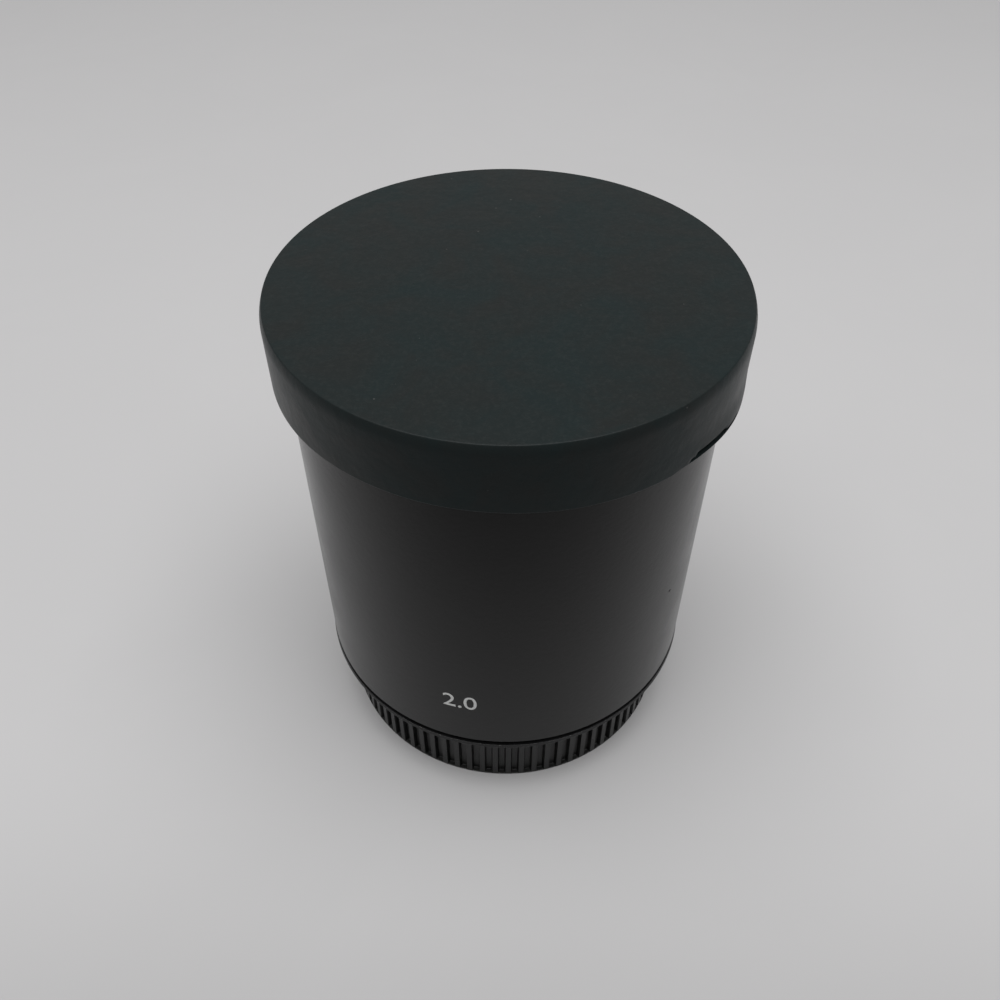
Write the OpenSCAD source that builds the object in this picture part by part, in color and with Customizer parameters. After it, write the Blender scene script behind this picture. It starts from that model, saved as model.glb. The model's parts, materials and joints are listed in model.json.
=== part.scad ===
// Camera teleconverter with T-thread ends, capped at both ends and standing on its rear cap.
// Millimetres. The optical axis is Z, the camera end is down, and Z is 0 at the rear cap's base.

/* [Barrel] */
// Length of the outer barrel
barrel_len = 52.7; // [46:0.1:70]
// Wall of the outer barrel
barrel_wall = 2.85; // [1.2:0.05:4]
// Chamfer on the barrel's outer edges
barrel_edge = 0.3; // [0.1:0.05:0.6]
// Thickness of the inner web that the lens cell seats on
web_t = 3; // [1.5:0.1:6]

/* [T thread] */
// Nominal diameter of the T-thread, M42 x 0.75
t_thread_d = 42; // [38:0.1:48]
// Length of the male thread at the camera end
rear_thread_len = 7; // [4:0.1:8]
// Length of the female thread at the lens end
front_thread_len = 6.5; // [4:0.1:9]
// Radial play of the female thread over the male one
thread_play = 0.05; // [0.02:0.01:0.1]
// Lead-in chamfer at a thread's open end
thread_lead = 0.4; // [0.2:0.05:0.8]

/* [Mount rings] */
// Radial play of a ring in the barrel's bore
ring_play = 0.05; // [0.02:0.01:0.1]
// Wall of the front ring behind its thread
front_ring_wall = 2.2; // [1:0.1:3]
// Thickness of the front ring's flange
front_flange_t = 1.2; // [0.6:0.1:2]
// How far the front ring's flange reaches over the barrel's wall
front_flange_step = 0.75; // [0.4:0.05:1]
// Thickness of the stop lip behind the front thread
front_lip_t = 1.5; // [0.8:0.1:3]
// How far the stop lip reaches inwards from the thread
front_lip_step = 0.85; // [0.5:0.05:2]
// Thickness of the rear ring's flange, seen as a band below the barrel
rear_flange_t = 0.75; // [0.5:0.05:1.5]
// How far the flange stands out past the barrel
rear_flange_proud = 0.15; // [0.05:0.05:0.6]
// Height of the waist between the flange and the barrel, seen as a dark line
rear_waist_h = 0.55; // [0.2:0.05:1]
// How far the waist is set in from the barrel's outside
rear_waist_inset = 1.6; // [0.5:0.1:2]
// Length of the relief neck above the male thread
rear_neck_len = 1.6; // [0.5:0.1:2]
// Depth of the relief neck below the thread's crest
rear_neck_depth = 0.6; // [0.3:0.1:1]
// Wall of the rear ring's nose behind its thread
rear_nose_wall = 2.4; // [1.6:0.1:4]
// Length of the rear ring inside the barrel
rear_insert_len = 5; // [3:0.1:8]

/* [Front ring screws] */
// Number of grub screws
grub_count = 3; // [2:1:6]
// Diameter of a grub screw
grub_d = 2; // [1.4:0.1:2.6]
// Height of the grub screws below the barrel's front end
grub_drop = 3.6; // [2.8:0.1:4.5]
// Depth of the groove round the front ring that the screws bear in
grub_groove_depth = 0.4; // [0.2:0.05:0.7]
// How far a screw sits below the barrel's surface
grub_recess = 0.15; // [0.05:0.05:0.4]
// Play round a screw and at its tip
grub_play = 0.05; // [0.02:0.01:0.1]
// Width of a driver slot
grub_slot_w = 0.4; // [0.3:0.05:0.6]
// Depth of a driver slot
grub_slot_depth = 0.6; // [0.3:0.05:0.8]

/* [Front cap] */
// Height of the front cap
front_cap_h = 8.7; // [6:0.1:16]
// Wall of the front cap's skirt
front_cap_wall = 1.3; // [1:0.1:4]
// Thickness of the front cap's top
front_cap_plate = 2.2; // [1:0.1:4]
// Radial play between the skirt and the barrel
front_cap_play = 0.4; // [0.3:0.05:0.8]
// Rounding of the front cap's top edge
front_cap_round = 0.7; // [0.2:0.1:0.9]
// Rounding of the skirt's outer lip
front_cap_lip = 0.6; // [0.2:0.1:0.9]

/* [Rear cap] */
// Thickness of the rear cap's base
rear_cap_base = 2; // [1:0.1:4]
// Room between the base and the end of the male thread
rear_cap_room = 0.9; // [0.3:0.1:3]
// Radial room between the male thread and the cap's bore
rear_cap_play = 0.6; // [0.58:0.01:1]
// Wall of the rear cap behind its grooves
rear_cap_wall = 1.8; // [0.8:0.1:3]
// Number of grip ribs
rib_count = 80; // [24:1:120]
// Height of a rib above its groove
rib_depth = 0.7; // [0.3:0.05:1.2]
// Share of the pitch that a rib takes
rib_share = 0.5; // [0.3:0.05:0.8]
// Height of the plain band at the cap's rim
rim_band_h = 0.9; // [0.8:0.1:3]
// How far the plain band stands out past the ribs
rim_band_proud = 0.1; // [0.1:0.05:1]
// Height of the plain foot under the ribs
foot_h = 1.2; // [0.4:0.1:1.5]
// How far the foot's lip is set in from the ribs
foot_lip_inset = 0.1; // [0.1:0.05:0.5]
// How far the foot draws in further at the base
foot_inset = 0.2; // [0.2:0.1:2]
// Lead-in chamfer in the cap's mouth
rear_cap_lead = 0.4; // [0.2:0.05:0.8]

/* [Lens cell] */
// Diameter of the glass
lens_d = 28; // [22:0.5:30]
// Radial play of the glass and its rings in the cell
lens_play = 0.05; // [0.02:0.01:0.1]
// Wall of the lens cell
cell_wall = 2.1; // [1.2:0.1:3]
// Radial play of the cell in the web
cell_play = 0.05; // [0.02:0.01:0.1]
// Thickness of the cell's flange
cell_flange_t = 2.5; // [1.5:0.1:4]
// Length of the cell behind its flange
cell_rear_len = 11.5; // [8:0.1:16]
// Gap between the rear ring and the back of the cell
cell_gap = 0.6; // [0.3:0.1:3]
// Depth of the retaining rings below the cell's ends
ring_recess = 0.5; // [0.2:0.1:1.5]
// Thickness of the cell's inner lip
cell_lip_t = 2; // [1:0.1:4]
// Thickness of the brass shim under the flange
shim_t = 0.3; // [0.1:0.05:0.8]
// Thickness of the ring that clamps the flange
lock_ring_t = 3; // [1.5:0.1:5]
// Radial room between the clamping ring and the cell's tube
lock_ring_room = 0.9; // [0.3:0.1:2]

/* [Lens stack] */
// How far spacers, lips and retaining rings reach in over the glass
seat_w = 1.5; // [0.8:0.1:2.5]
// Gap between a curved glass face and its seat
seat_gap = 0.05; // [0.02:0.01:0.1]
// Thickness of the retaining rings
retainer_t = 2; // [1:0.1:4]
// Height of the spacer behind the front lens
front_spacer_h = 3; // [1.5:0.1:6]
// Height of the spacer in front of the rear lens
rear_spacer_h = 2.5; // [1.5:0.1:6]
// Width of a ring's spanner slot
spanner_slot_w = 1.4; // [0.8:0.1:2]
// Depth of a ring's spanner slot
spanner_slot_depth = 0.9; // [0.4:0.1:1]

/* [Glass] */
// Centre thickness of the front lens
front_glass_t = 2; // [1.2:0.1:4]
// Radius of the front lens's convex face
front_glass_r1 = 50; // [35:1:90]
// Radius of the front lens's hollow face
front_glass_r2 = 26; // [20:0.5:34]
// Centre thickness of the biconcave lens
concave_glass_t = 1.6; // [1:0.1:3]
// Radius of the biconcave lens's front face
concave_glass_r1 = 60; // [40:1:120]
// Radius of the cemented faces
cement_r = 32; // [24:0.5:60]
// Thickness of the cement
cement_t = 0.02; // [0.01:0.01:0.05]
// Edge thickness of the biconvex lens behind the cement
convex_edge_t = 1.8; // [1:0.1:4]
// Radius of the biconvex lens's rear face
convex_r2 = 55; // [30:1:120]
// Edge thickness of the rear lens
rear_glass_edge_t = 2; // [1:0.1:4]
// Radius of both faces of the rear lens
rear_glass_r = 45; // [28:1:120]
// Width of the flat rim round a hollow face
rim_flat_w = 0.6; // [0.3:0.1:1]

/* [Baffles] */
// Wall of the front light trap at its ridges' roots
trap_wall = 0.8; // [0.5:0.1:1.5]
// Height of a light-trap ridge
trap_ridge = 1; // [0.4:0.1:1.5]
// Pitch of the light-trap ridges
trap_pitch = 1.6; // [1:0.1:3]
// Thickness of the rear stop disc
stop_t = 0.4; // [0.2:0.05:1]
// Diameter of the stop disc's opening
stop_open_d = 27; // [18:0.5:31]
// Height of the lip that the stop disc lies on
stop_lip_t = 2.1; // [1:0.1:3]
// How far that lip reaches in from the nose's bore
stop_lip_step = 1.2; // [0.6:0.1:2]
// Diameter of the clip's wire
clip_wire_d = 0.8; // [0.5:0.05:1]
// Opening of the clip, in degrees
clip_gap_deg = 40; // [20:5:90]
// Play of the stop disc and the clip in the nose
stop_play = 0.1; // [0.05:0.05:0.2]

/* [Hidden] */
$fn = 96;
// Overrun of a cutting shape past the face that it opens
cut = 1;

// Radii from the thread outwards
male_r = t_thread_d / 2;
female_r = male_r + thread_play;
ring_r = female_r + front_ring_wall;
barrel_in_r = ring_r + ring_play;
barrel_r = barrel_in_r + barrel_wall;
front_flange_r = barrel_in_r + front_flange_step;
neck_r = male_r - rear_neck_depth;
nose_bore_r = male_r - rear_nose_wall;
stop_lip_r = nose_bore_r - stop_lip_step;
rear_flange_r = barrel_r + rear_flange_proud;
waist_r = barrel_r - rear_waist_inset;
cap_in_r = barrel_r + front_cap_play;
cap_r = cap_in_r + front_cap_wall;
rear_cap_in_r = male_r + rear_cap_play;
groove_r = rear_cap_in_r + rear_cap_wall;
rib_r = groove_r + rib_depth;
rim_r = rib_r + rim_band_proud;
foot_r = rib_r - foot_lip_inset;

// Heights from the base upwards
nose_z = rear_cap_base + rear_cap_room;
neck_z = nose_z + rear_thread_len;
shoulder_z = neck_z + rear_neck_len;
rear_flange_top = shoulder_z + rear_flange_t;
barrel_z = rear_flange_top + rear_waist_h;
barrel_top = barrel_z + barrel_len;
front_ring_z = barrel_top - front_thread_len - front_lip_t;
cap_top = barrel_top + front_cap_plate;
skirt_z = cap_top - front_cap_h;
insert_top = barrel_z + rear_insert_len;
grub_z = barrel_top - grub_drop;

// Lens cell and what clamps it
lens_r = lens_d / 2;
cell_bore_r = lens_r + lens_play;
cell_r = cell_bore_r + cell_wall;
web_r = cell_r + cell_play;
seat_r = lens_r - seat_w;
hollow_r = lens_r - rim_flat_w;
cell_z = insert_top + cell_gap;
flange_z = cell_z + cell_rear_len;
shim_z = flange_z - shim_t;
web_z = shim_z - web_t;
flange_top = flange_z + cell_flange_t;
lock_ring_top = flange_top + lock_ring_t;

// Height of a spherical face's edge over its middle, at radius r
function sag(face_r, r) = face_r - sqrt(face_r * face_r - r * r);
// How far a convex face rises from the glass's edge to radius r
function rise(face_r, r) = sag(face_r, lens_r) - sag(face_r, r);

// Glass edges, from the back of the cell forwards
rear_ring_z = cell_z + ring_recess;
rear_glass_z = rear_ring_z + retainer_t + seat_gap + rise(rear_glass_r, seat_r);
rear_glass_top = rear_glass_z + rear_glass_edge_t;
rear_spacer_z = rear_glass_top + rise(rear_glass_r, seat_r) + seat_gap;
cell_lip_z = rear_spacer_z + rear_spacer_h;
cell_lip_top = cell_lip_z + cell_lip_t;
convex_z = cell_lip_top + seat_gap + rise(convex_r2, seat_r);
convex_top = convex_z + convex_edge_t;
concave_z = convex_top + rise(cement_r, hollow_r) + cement_t;
concave_top = concave_z + sag(cement_r, hollow_r) + concave_glass_t + sag(concave_glass_r1, hollow_r);
front_spacer_top = concave_top + front_spacer_h;
front_glass_edge_t = sag(front_glass_r2, hollow_r) + front_glass_t - sag(front_glass_r1, lens_r);
front_glass_top = front_spacer_top + front_glass_edge_t;
front_retainer_z = front_glass_top + rise(front_glass_r1, seat_r) + seat_gap;
cell_top = front_retainer_z + retainer_t + ring_recess;

// Baffles
trap_r = ring_r;
trap_root_r = trap_r - trap_wall;
trap_len = front_ring_z - lock_ring_top;
trap_ridges = floor(trap_len / trap_pitch);
stop_z = nose_z + stop_lip_t;
stop_r = nose_bore_r - stop_play;
clip_z = stop_z + stop_t;
clip_groove_r = nose_bore_r + clip_wire_d / 2;
clip_r = clip_groove_r - stop_play - clip_wire_d / 2;

// Half of a turned ring's section, between two radii and two heights
module section(r_in, r_out, z_low, z_high) {
    translate([r_in, z_low]) square([r_out - r_in, z_high - z_low]);
}

// Plain turned ring
module turned_ring(r_in, r_out, z_low, z_high) {
    rotate_extrude() section(r_in, r_out, z_low, z_high);
}

// Two spanner slots across a ring's face, cut from height z upwards
module spanner_slots(r_out, z) {
    reach = r_out + cut;
    translate([-reach, -spanner_slot_w / 2, z]) cube([2 * reach, spanner_slot_w, spanner_slot_depth + cut]);
}

// Glass blank between two heights
module glass_blank(z_low, z_high) {
    translate([0, 0, z_low]) cylinder(r = lens_r, h = z_high - z_low);
}

// Ball that domes upwards and passes through radius r at height z
module dome_up(face_r, r, z) {
    translate([0, 0, z + sag(face_r, r) - face_r]) sphere(r = face_r);
}

// Ball that domes downwards and passes through radius r at height z
module dome_down(face_r, r, z) {
    translate([0, 0, z - sag(face_r, r) + face_r]) sphere(r = face_r);
}

module front_cap() {
    lip_z = skirt_z + front_cap_lip;
    shoulder_top = cap_top - front_cap_round;
    color("#26282a") rotate_extrude() difference() {
        union() {
            section(0, cap_r, lip_z, shoulder_top);
            section(0, cap_r - front_cap_lip, skirt_z, lip_z);
            section(0, cap_r - front_cap_round, shoulder_top, cap_top);
            translate([cap_r - front_cap_lip, lip_z]) circle(r = front_cap_lip);
            translate([cap_r - front_cap_round, shoulder_top]) circle(r = front_cap_round);
        }
        section(-cut, cap_in_r, skirt_z - cut, barrel_top);
    }
}

module rib_outline() {
    pitch = 360 / rib_count;
    half = pitch * rib_share / 2;
    corners = [[rib_r, -half], [rib_r, half], [groove_r, half], [groove_r, pitch - half]];
    polygon([for (i = [0 : rib_count - 1], c = corners)
        c[0] * [cos(i * pitch + c[1]), sin(i * pitch + c[1])]]);
}

module rear_cap() {
    color("#1d1e1f") difference() {
        union() {
            cylinder(r1 = foot_r - foot_inset, r2 = foot_r, h = foot_h);
            translate([0, 0, foot_h]) linear_extrude(shoulder_z - rim_band_h - foot_h) rib_outline();
            translate([0, 0, shoulder_z - rim_band_h]) cylinder(r = rim_r, h = rim_band_h);
        }
        translate([0, 0, rear_cap_base]) cylinder(r = rear_cap_in_r, h = shoulder_z);
        translate([0, 0, shoulder_z - rear_cap_lead])
            cylinder(r1 = rear_cap_in_r, r2 = rear_cap_in_r + rear_cap_lead + cut, h = rear_cap_lead + cut);
    }
}

module outer_barrel() {
    color("#2b2c2d") difference() {
        rotate_extrude() difference() {
            polygon([
                [web_r, barrel_z], [barrel_r - barrel_edge, barrel_z], [barrel_r, barrel_z + barrel_edge],
                [barrel_r, barrel_top - barrel_edge], [barrel_r - barrel_edge, barrel_top],
                [web_r, barrel_top]
            ]);
            section(0, barrel_in_r, barrel_z - cut, web_z);
            section(0, barrel_in_r, web_z + web_t, barrel_top + cut);
            section(0, front_flange_r + ring_play, barrel_top - front_flange_t, barrel_top + cut);
        }
        grub_places() cylinder(d = grub_d + 2 * grub_play, h = barrel_r + cut);
    }
}

module rear_mount_ring() {
    color("#202122") rotate_extrude() difference() {
        polygon([
            [stop_lip_r, nose_z], [male_r - thread_lead, nose_z], [male_r, nose_z + thread_lead],
            [male_r, neck_z], [neck_r, neck_z], [neck_r, shoulder_z],
            [rear_flange_r, shoulder_z], [rear_flange_r, rear_flange_top], [waist_r, rear_flange_top],
            [waist_r, barrel_z], [ring_r, barrel_z], [ring_r, insert_top], [stop_lip_r, insert_top]
        ]);
        section(0, nose_bore_r, stop_z, insert_top + cut);
        section(0, clip_groove_r, clip_z, clip_z + clip_wire_d + stop_play);
    }
}

module front_mount_ring() {
    color("#202122") rotate_extrude() difference() {
        union() {
            section(female_r - front_lip_step, ring_r, front_ring_z, barrel_top);
            section(female_r, front_flange_r, barrel_top - front_flange_t, barrel_top);
        }
        section(0, female_r, front_ring_z + front_lip_t, barrel_top + cut);
        polygon([[female_r, barrel_top - thread_lead], [female_r + thread_lead + cut, barrel_top + cut],
            [female_r, barrel_top + cut]]);
        section(ring_r - grub_groove_depth, ring_r + cut,
            grub_z - grub_d / 2 - grub_play, grub_z + grub_d / 2 + grub_play);
    }
}

// Turns its child, which runs outwards along X after the turn, to each grub screw
module grub_places() {
    for (i = [0 : grub_count - 1])
        rotate(i * 360 / grub_count + 90) translate([0, 0, grub_z]) rotate([0, 90, 0]) children();
}

module front_ring_screws() {
    tip = ring_r - grub_groove_depth + grub_play;
    color("#3a3a3a") grub_places() translate([0, 0, tip]) difference() {
        cylinder(d = grub_d, h = barrel_r - grub_recess - tip);
        translate([-grub_d, -grub_slot_w / 2, barrel_r - grub_recess - tip - grub_slot_depth])
            cube([2 * grub_d, grub_slot_w, grub_slot_depth + cut]);
    }
}

module front_baffle() {
    color("#151515") rotate_extrude() {
        section(trap_root_r, trap_r, lock_ring_top, front_ring_z);
        for (i = [0 : trap_ridges - 1]) translate([0, lock_ring_top + i * trap_pitch])
            polygon([[trap_root_r, 0], [trap_root_r, trap_pitch / 2], [trap_root_r - trap_ridge, 0]]);
    }
}

module lens_cell() {
    color("#1a1b1c") rotate_extrude() {
        section(cell_bore_r, cell_r, cell_z, cell_top);
        section(cell_r, ring_r, flange_z, flange_top);
        section(seat_r, cell_bore_r, cell_lip_z, cell_lip_top);
    }
}

module cell_shim() {
    color("#b08d3f") turned_ring(web_r, ring_r, shim_z, flange_z);
}

module cell_lock_ring() {
    color("#202122") difference() {
        turned_ring(cell_r + lock_ring_room, ring_r, flange_top, lock_ring_top);
        spanner_slots(ring_r, lock_ring_top - spanner_slot_depth);
    }
}

module front_retaining_ring() {
    color("#202122") difference() {
        turned_ring(seat_r, lens_r, front_retainer_z, front_retainer_z + retainer_t);
        spanner_slots(lens_r, front_retainer_z + retainer_t - spanner_slot_depth);
    }
}

module front_element() {
    color("#9fb6c4") difference() {
        intersection() {
            glass_blank(front_spacer_top, front_glass_top + lens_r);
            dome_up(front_glass_r1, lens_r, front_glass_top);
        }
        dome_up(front_glass_r2, hollow_r, front_spacer_top);
    }
}

module front_spacer() {
    color("#202122") turned_ring(seat_r, lens_r, concave_top, front_spacer_top);
}

module doublet_front_element() {
    color("#a5bbb6") difference() {
        glass_blank(concave_z, concave_top);
        dome_down(concave_glass_r1, hollow_r, concave_top);
        dome_up(cement_r, hollow_r, concave_z);
    }
}

module doublet_rear_element() {
    color("#a3b5c0") intersection() {
        glass_blank(convex_z - lens_r, convex_top + lens_r);
        dome_up(cement_r, lens_r, convex_top);
        dome_down(convex_r2, lens_r, convex_z);
    }
}

module rear_spacer() {
    color("#202122") turned_ring(seat_r, lens_r, rear_spacer_z, cell_lip_z);
}

module rear_element() {
    color("#9fb6c4") intersection() {
        glass_blank(rear_glass_z - lens_r, rear_glass_top + lens_r);
        dome_up(rear_glass_r, lens_r, rear_glass_top);
        dome_down(rear_glass_r, lens_r, rear_glass_z);
    }
}

module rear_retaining_ring() {
    color("#202122") difference() {
        turned_ring(seat_r, lens_r, rear_ring_z, rear_ring_z + retainer_t);
        spanner_slots(lens_r, rear_ring_z - cut);
    }
}

module rear_baffle() {
    color("#151515") turned_ring(stop_open_d / 2, stop_r, stop_z, stop_z + stop_t);
}

module baffle_clip() {
    color("#77797b") rotate(clip_gap_deg / 2) rotate_extrude(angle = 360 - clip_gap_deg)
        translate([clip_r, clip_z + clip_wire_d / 2]) circle(d = clip_wire_d);
}

front_cap();
rear_cap();
outer_barrel();
rear_mount_ring();
front_mount_ring();
front_ring_screws();
front_baffle();
lens_cell();
cell_shim();
cell_lock_ring();
front_retaining_ring();
front_element();
front_spacer();
doublet_front_element();
doublet_rear_element();
rear_spacer();
rear_element();
rear_retaining_ring();
rear_baffle();
baffle_clip();
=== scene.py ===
"""Finished looks of a camera teleconverter that stands, capped at both ends, on its ribbed rear cap."""
import json
import math
from collections import namedtuple

import bmesh
import bpy
import numpy as np
from bpy.props import FloatProperty, FloatVectorProperty, IntProperty, PointerProperty, StringProperty
from mathutils import Matrix, Vector


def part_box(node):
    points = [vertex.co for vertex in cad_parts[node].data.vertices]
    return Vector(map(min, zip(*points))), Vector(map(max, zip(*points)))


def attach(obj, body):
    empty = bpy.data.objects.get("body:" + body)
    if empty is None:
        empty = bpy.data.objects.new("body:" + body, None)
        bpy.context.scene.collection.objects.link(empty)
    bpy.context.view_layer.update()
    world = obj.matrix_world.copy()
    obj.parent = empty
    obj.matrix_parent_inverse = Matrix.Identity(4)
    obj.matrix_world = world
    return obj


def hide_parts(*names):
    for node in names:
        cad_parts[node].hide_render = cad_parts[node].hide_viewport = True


bl_info = {
    "name": "Camera teleconverter",
    "version": (1, 0, 0),
    "blender": (4, 5, 0),
    "location": "View3D > Sidebar > Teleconverter",
    "description": "Builds the finished pieces of a capped camera teleconverter round its solids",
    "category": "Object",
}

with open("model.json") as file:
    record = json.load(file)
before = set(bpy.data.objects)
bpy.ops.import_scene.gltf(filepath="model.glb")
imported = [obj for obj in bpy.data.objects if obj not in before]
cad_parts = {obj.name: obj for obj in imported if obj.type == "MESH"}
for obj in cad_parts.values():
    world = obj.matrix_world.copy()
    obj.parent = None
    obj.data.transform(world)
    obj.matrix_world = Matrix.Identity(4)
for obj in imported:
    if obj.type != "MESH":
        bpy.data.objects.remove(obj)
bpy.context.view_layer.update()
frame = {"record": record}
MM = 0.001
RECORD = frame["record"]
BODY_OF = {node: body for body, nodes in RECORD["behaviour"]["bodies"].items() for node in nodes}


def span(node):
    """Outer radius, lowest and highest height of a turned CAD node."""
    low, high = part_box(node)
    return high.x, low.z, high.z


# Radii and heights that the pieces share, read from the solids
CAP_R, SKIRT_Z, CAP_TOP = span("front_cap")
RIM_R, BASE_Z, RIM_TOP = span("rear_cap")
BARREL_R, BARREL_Z, BARREL_TOP = span("outer_barrel")
REAR_FLANGE_R, NOSE_Z, INSERT_TOP = span("rear_mount_ring")
FLANGE_R, FRONT_RING_Z, _ = span("front_mount_ring")
RING_R, TRAP_Z, TRAP_TOP = span("front_baffle")
_, SHIM_Z, FLANGE_Z = span("cell_shim")
_, CELL_Z, CELL_TOP = span("lens_cell")
LENS_R = span("front_element")[0]
STOP_R, STOP_Z, STOP_TOP = span("rear_baffle")

# Roundings of edges that have no setting of their own
SOFT_ROUND, BORE_ROUND, SCREW_ROUND, SMALL_ROUND = 0.2 * MM, 0.3 * MM, 0.12 * MM, 0.1 * MM
FINE_ROUND, STEP_ROUND, SHEET_ROUND = 0.08 * MM, 0.05 * MM, 0.04 * MM
# Play of the grub screws in their groove, and room above the clip's wire
GRUB_PLAY, WIRE_PLAY = 0.05 * MM, 0.1 * MM
# How far a cutter reaches past what it cuts
CUT_PAST = 1.0 * MM

# Mesh columns round the axis, and mesh rows along each thread
CAP_COLUMNS, TUBE_COLUMNS, THREAD_COLUMNS = 540, 360, 240
RING_COLUMNS, GLASS_COLUMNS, SCREW_COLUMNS = 192, 128, 32
CAP_THREAD_ROWS, MALE_ROWS, FEMALE_ROWS = 58, 71, 64


# Properties

def length(name, description, millimetres):
    """A size that a user may set."""
    return FloatProperty(
        name=name, description=description, default=millimetres * MM, unit="LENGTH", precision=5)


def turn(name, description, degrees):
    """An angle that a user may set."""
    return FloatProperty(name=name, description=description, default=math.radians(degrees), unit="ROTATION")


def factor(name, description, value):
    """A share from nothing to all."""
    return FloatProperty(name=name, description=description, default=value, subtype="FACTOR", min=0, max=1)


def colour(name, description, rgb):
    """A colour that a user may set, in linear light."""
    return FloatVectorProperty(name=name, description=description, default=rgb, subtype="COLOR", min=0, max=1)


def place(name, description, xyz):
    """A place that a user may set, in metres."""
    return FloatVectorProperty(name=name, description=description, default=xyz, subtype="TRANSLATION")


class FrontCapSettings(bpy.types.PropertyGroup):
    """Soft push-on cap over the lens end"""
    plate: length("Top", "Thickness of the cap's top", 2.15)
    rim_inset: length("Rim inset", "How far the top edge is drawn in from the skirt", 0.35)
    rim_drop: length("Rim drop", "Height over which the skirt curves in to the top edge", 1.5)
    rim_round: length("Rim round", "Rounding of the top edge", 0.2)
    lip_round: length("Lip round", "Rounding of the skirt's lower lip", 0.15)
    play: length("Play", "Gap between the skirt and the barrel", 0.4)
    lip_play: length("Lip play", "Gap between the lip's bead and the barrel", 0.1)
    bead: length("Bead", "Height of the bead inside the lip", 1.2)
    wave: length("Lip wave", "How far the soft lip waves", 0.2)
    flare: length("Lip flare", "How far the lip stands out beside the split", 0.3)
    split_from: turn("Split start", "Where the split in the lip starts, from the front towards +X", 42.5)
    split_wide: turn("Split middle", "Where the split is highest", 48)
    split_to: turn("Split end", "Where the split in the lip ends", 66)
    split_depth: length("Split depth", "Depth of the split in the lip", 1.0)
    split_h: length("Split height", "Height of the split's mouth", 0.75)
    sag: length("Lip sag", "How far the lip hangs lower before the split", 0.25)
    sag_turn: turn("Lip sag end", "Where the lip steps up again, from the front towards +X", 37.5)
    black: colour("Soft black", "Colour of the soft cap", (0.0152, 0.0178, 0.0175))
    dust: colour("Dust", "Colour of dust and lint", (0.20, 0.20, 0.19))


class RearCapSettings(bpy.types.PropertyGroup):
    """Ribbed screw-on cap that the converter stands on"""
    base: length("Base", "Thickness of the base", 2.0)
    bore: length("Bore", "Inner radius behind the thread", 21.6)
    rib_count: IntProperty(name="Ribs", description="Number of grip ribs", default=80, min=12)
    rib_depth: length("Rib depth", "Height of a rib above its groove", 0.6)
    rib_share: factor("Rib share", "Share of the pitch that a rib takes", 0.5)
    rib_flank: factor("Rib flank", "Share of the pitch that a rib's side takes", 0.10)
    rib_turn: turn("Rib turn", "Turn of the ribs about the axis", 1.5)
    band_h: length("Band", "Height of the plain band at the rim", 0.9)
    band_proud: length("Band step", "How far the band stands out past the ribs", 0.25)
    foot_h: length("Foot", "Height of the plain foot", 0.25)
    foot_round: length("Foot round", "Rounding of the foot's lower edge", 0.08)
    foot_inset: length("Foot inset", "How far the foot draws in at the base", 0.05)
    pad: length("Pad", "Width of the ring that the cap stands on", 2.0)
    run_out: length("Groove end", "Height over which a groove runs out at the foot", 0.12)
    rim_round: length("Rim round", "Rounding of the rim's upper edge", 0.45)
    mouth: length("Mouth", "Lead-in chamfer in the mouth", 0.4)
    hollow: length("Hollow", "Depth of the hollow under the base", 0.3)
    thread_depth: length("Thread depth", "Height of the cap's inner thread", 0.5)
    thread_h: length("Thread height", "Height of the cap's threaded band", 5.5)
    black: colour("Ribbed black", "Colour of the ribbed cap", (0.0042, 0.0045, 0.0044))


class BarrelSettings(bpy.types.PropertyGroup):
    """Painted outer tube"""
    edge: length("Edge round", "Rounding of the tube's lens end", 0.3)
    foot_edge: length("Lower edge", "Rounding of the tube's camera end", 0.1)
    play: length("Play", "Radial play of the rings in the tube", 0.05)
    web: length("Web", "Thickness of the web under the lens cell", 3.0)
    flange: length("Flange seat", "Depth of the seat for the front ring's flange", 1.2)
    number: StringProperty(name="Number", description="Magnification printed on the tube", default="2.0")
    number_h: length("Number height", "Height of the printed number", 2.7)
    number_z: length("Number place", "Height of the number's foot", 20.2)
    number_turn: turn("Number turn", "Middle of the number, from the front towards +X", -12.8)
    print_t: length("Print", "Thickness of the print", 0.02)
    nick_turn: turn("Nick turn", "Place of the nick in the paint, from the front towards +X", 53)
    nick_z: length("Nick height", "Height of the nick in the paint", 32.5)
    nick: length("Nick", "Width of the nick in the paint", 0.55)
    black: colour("Paint", "Colour of the satin paint", (0.0035, 0.0036, 0.0035))
    worn: colour("Worn paint", "Colour of the paint where it is rubbed thin", (0.30, 0.30, 0.29))
    print_white: colour("Print colour", "Colour of the printed number", (0.86, 0.87, 0.86))


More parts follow.
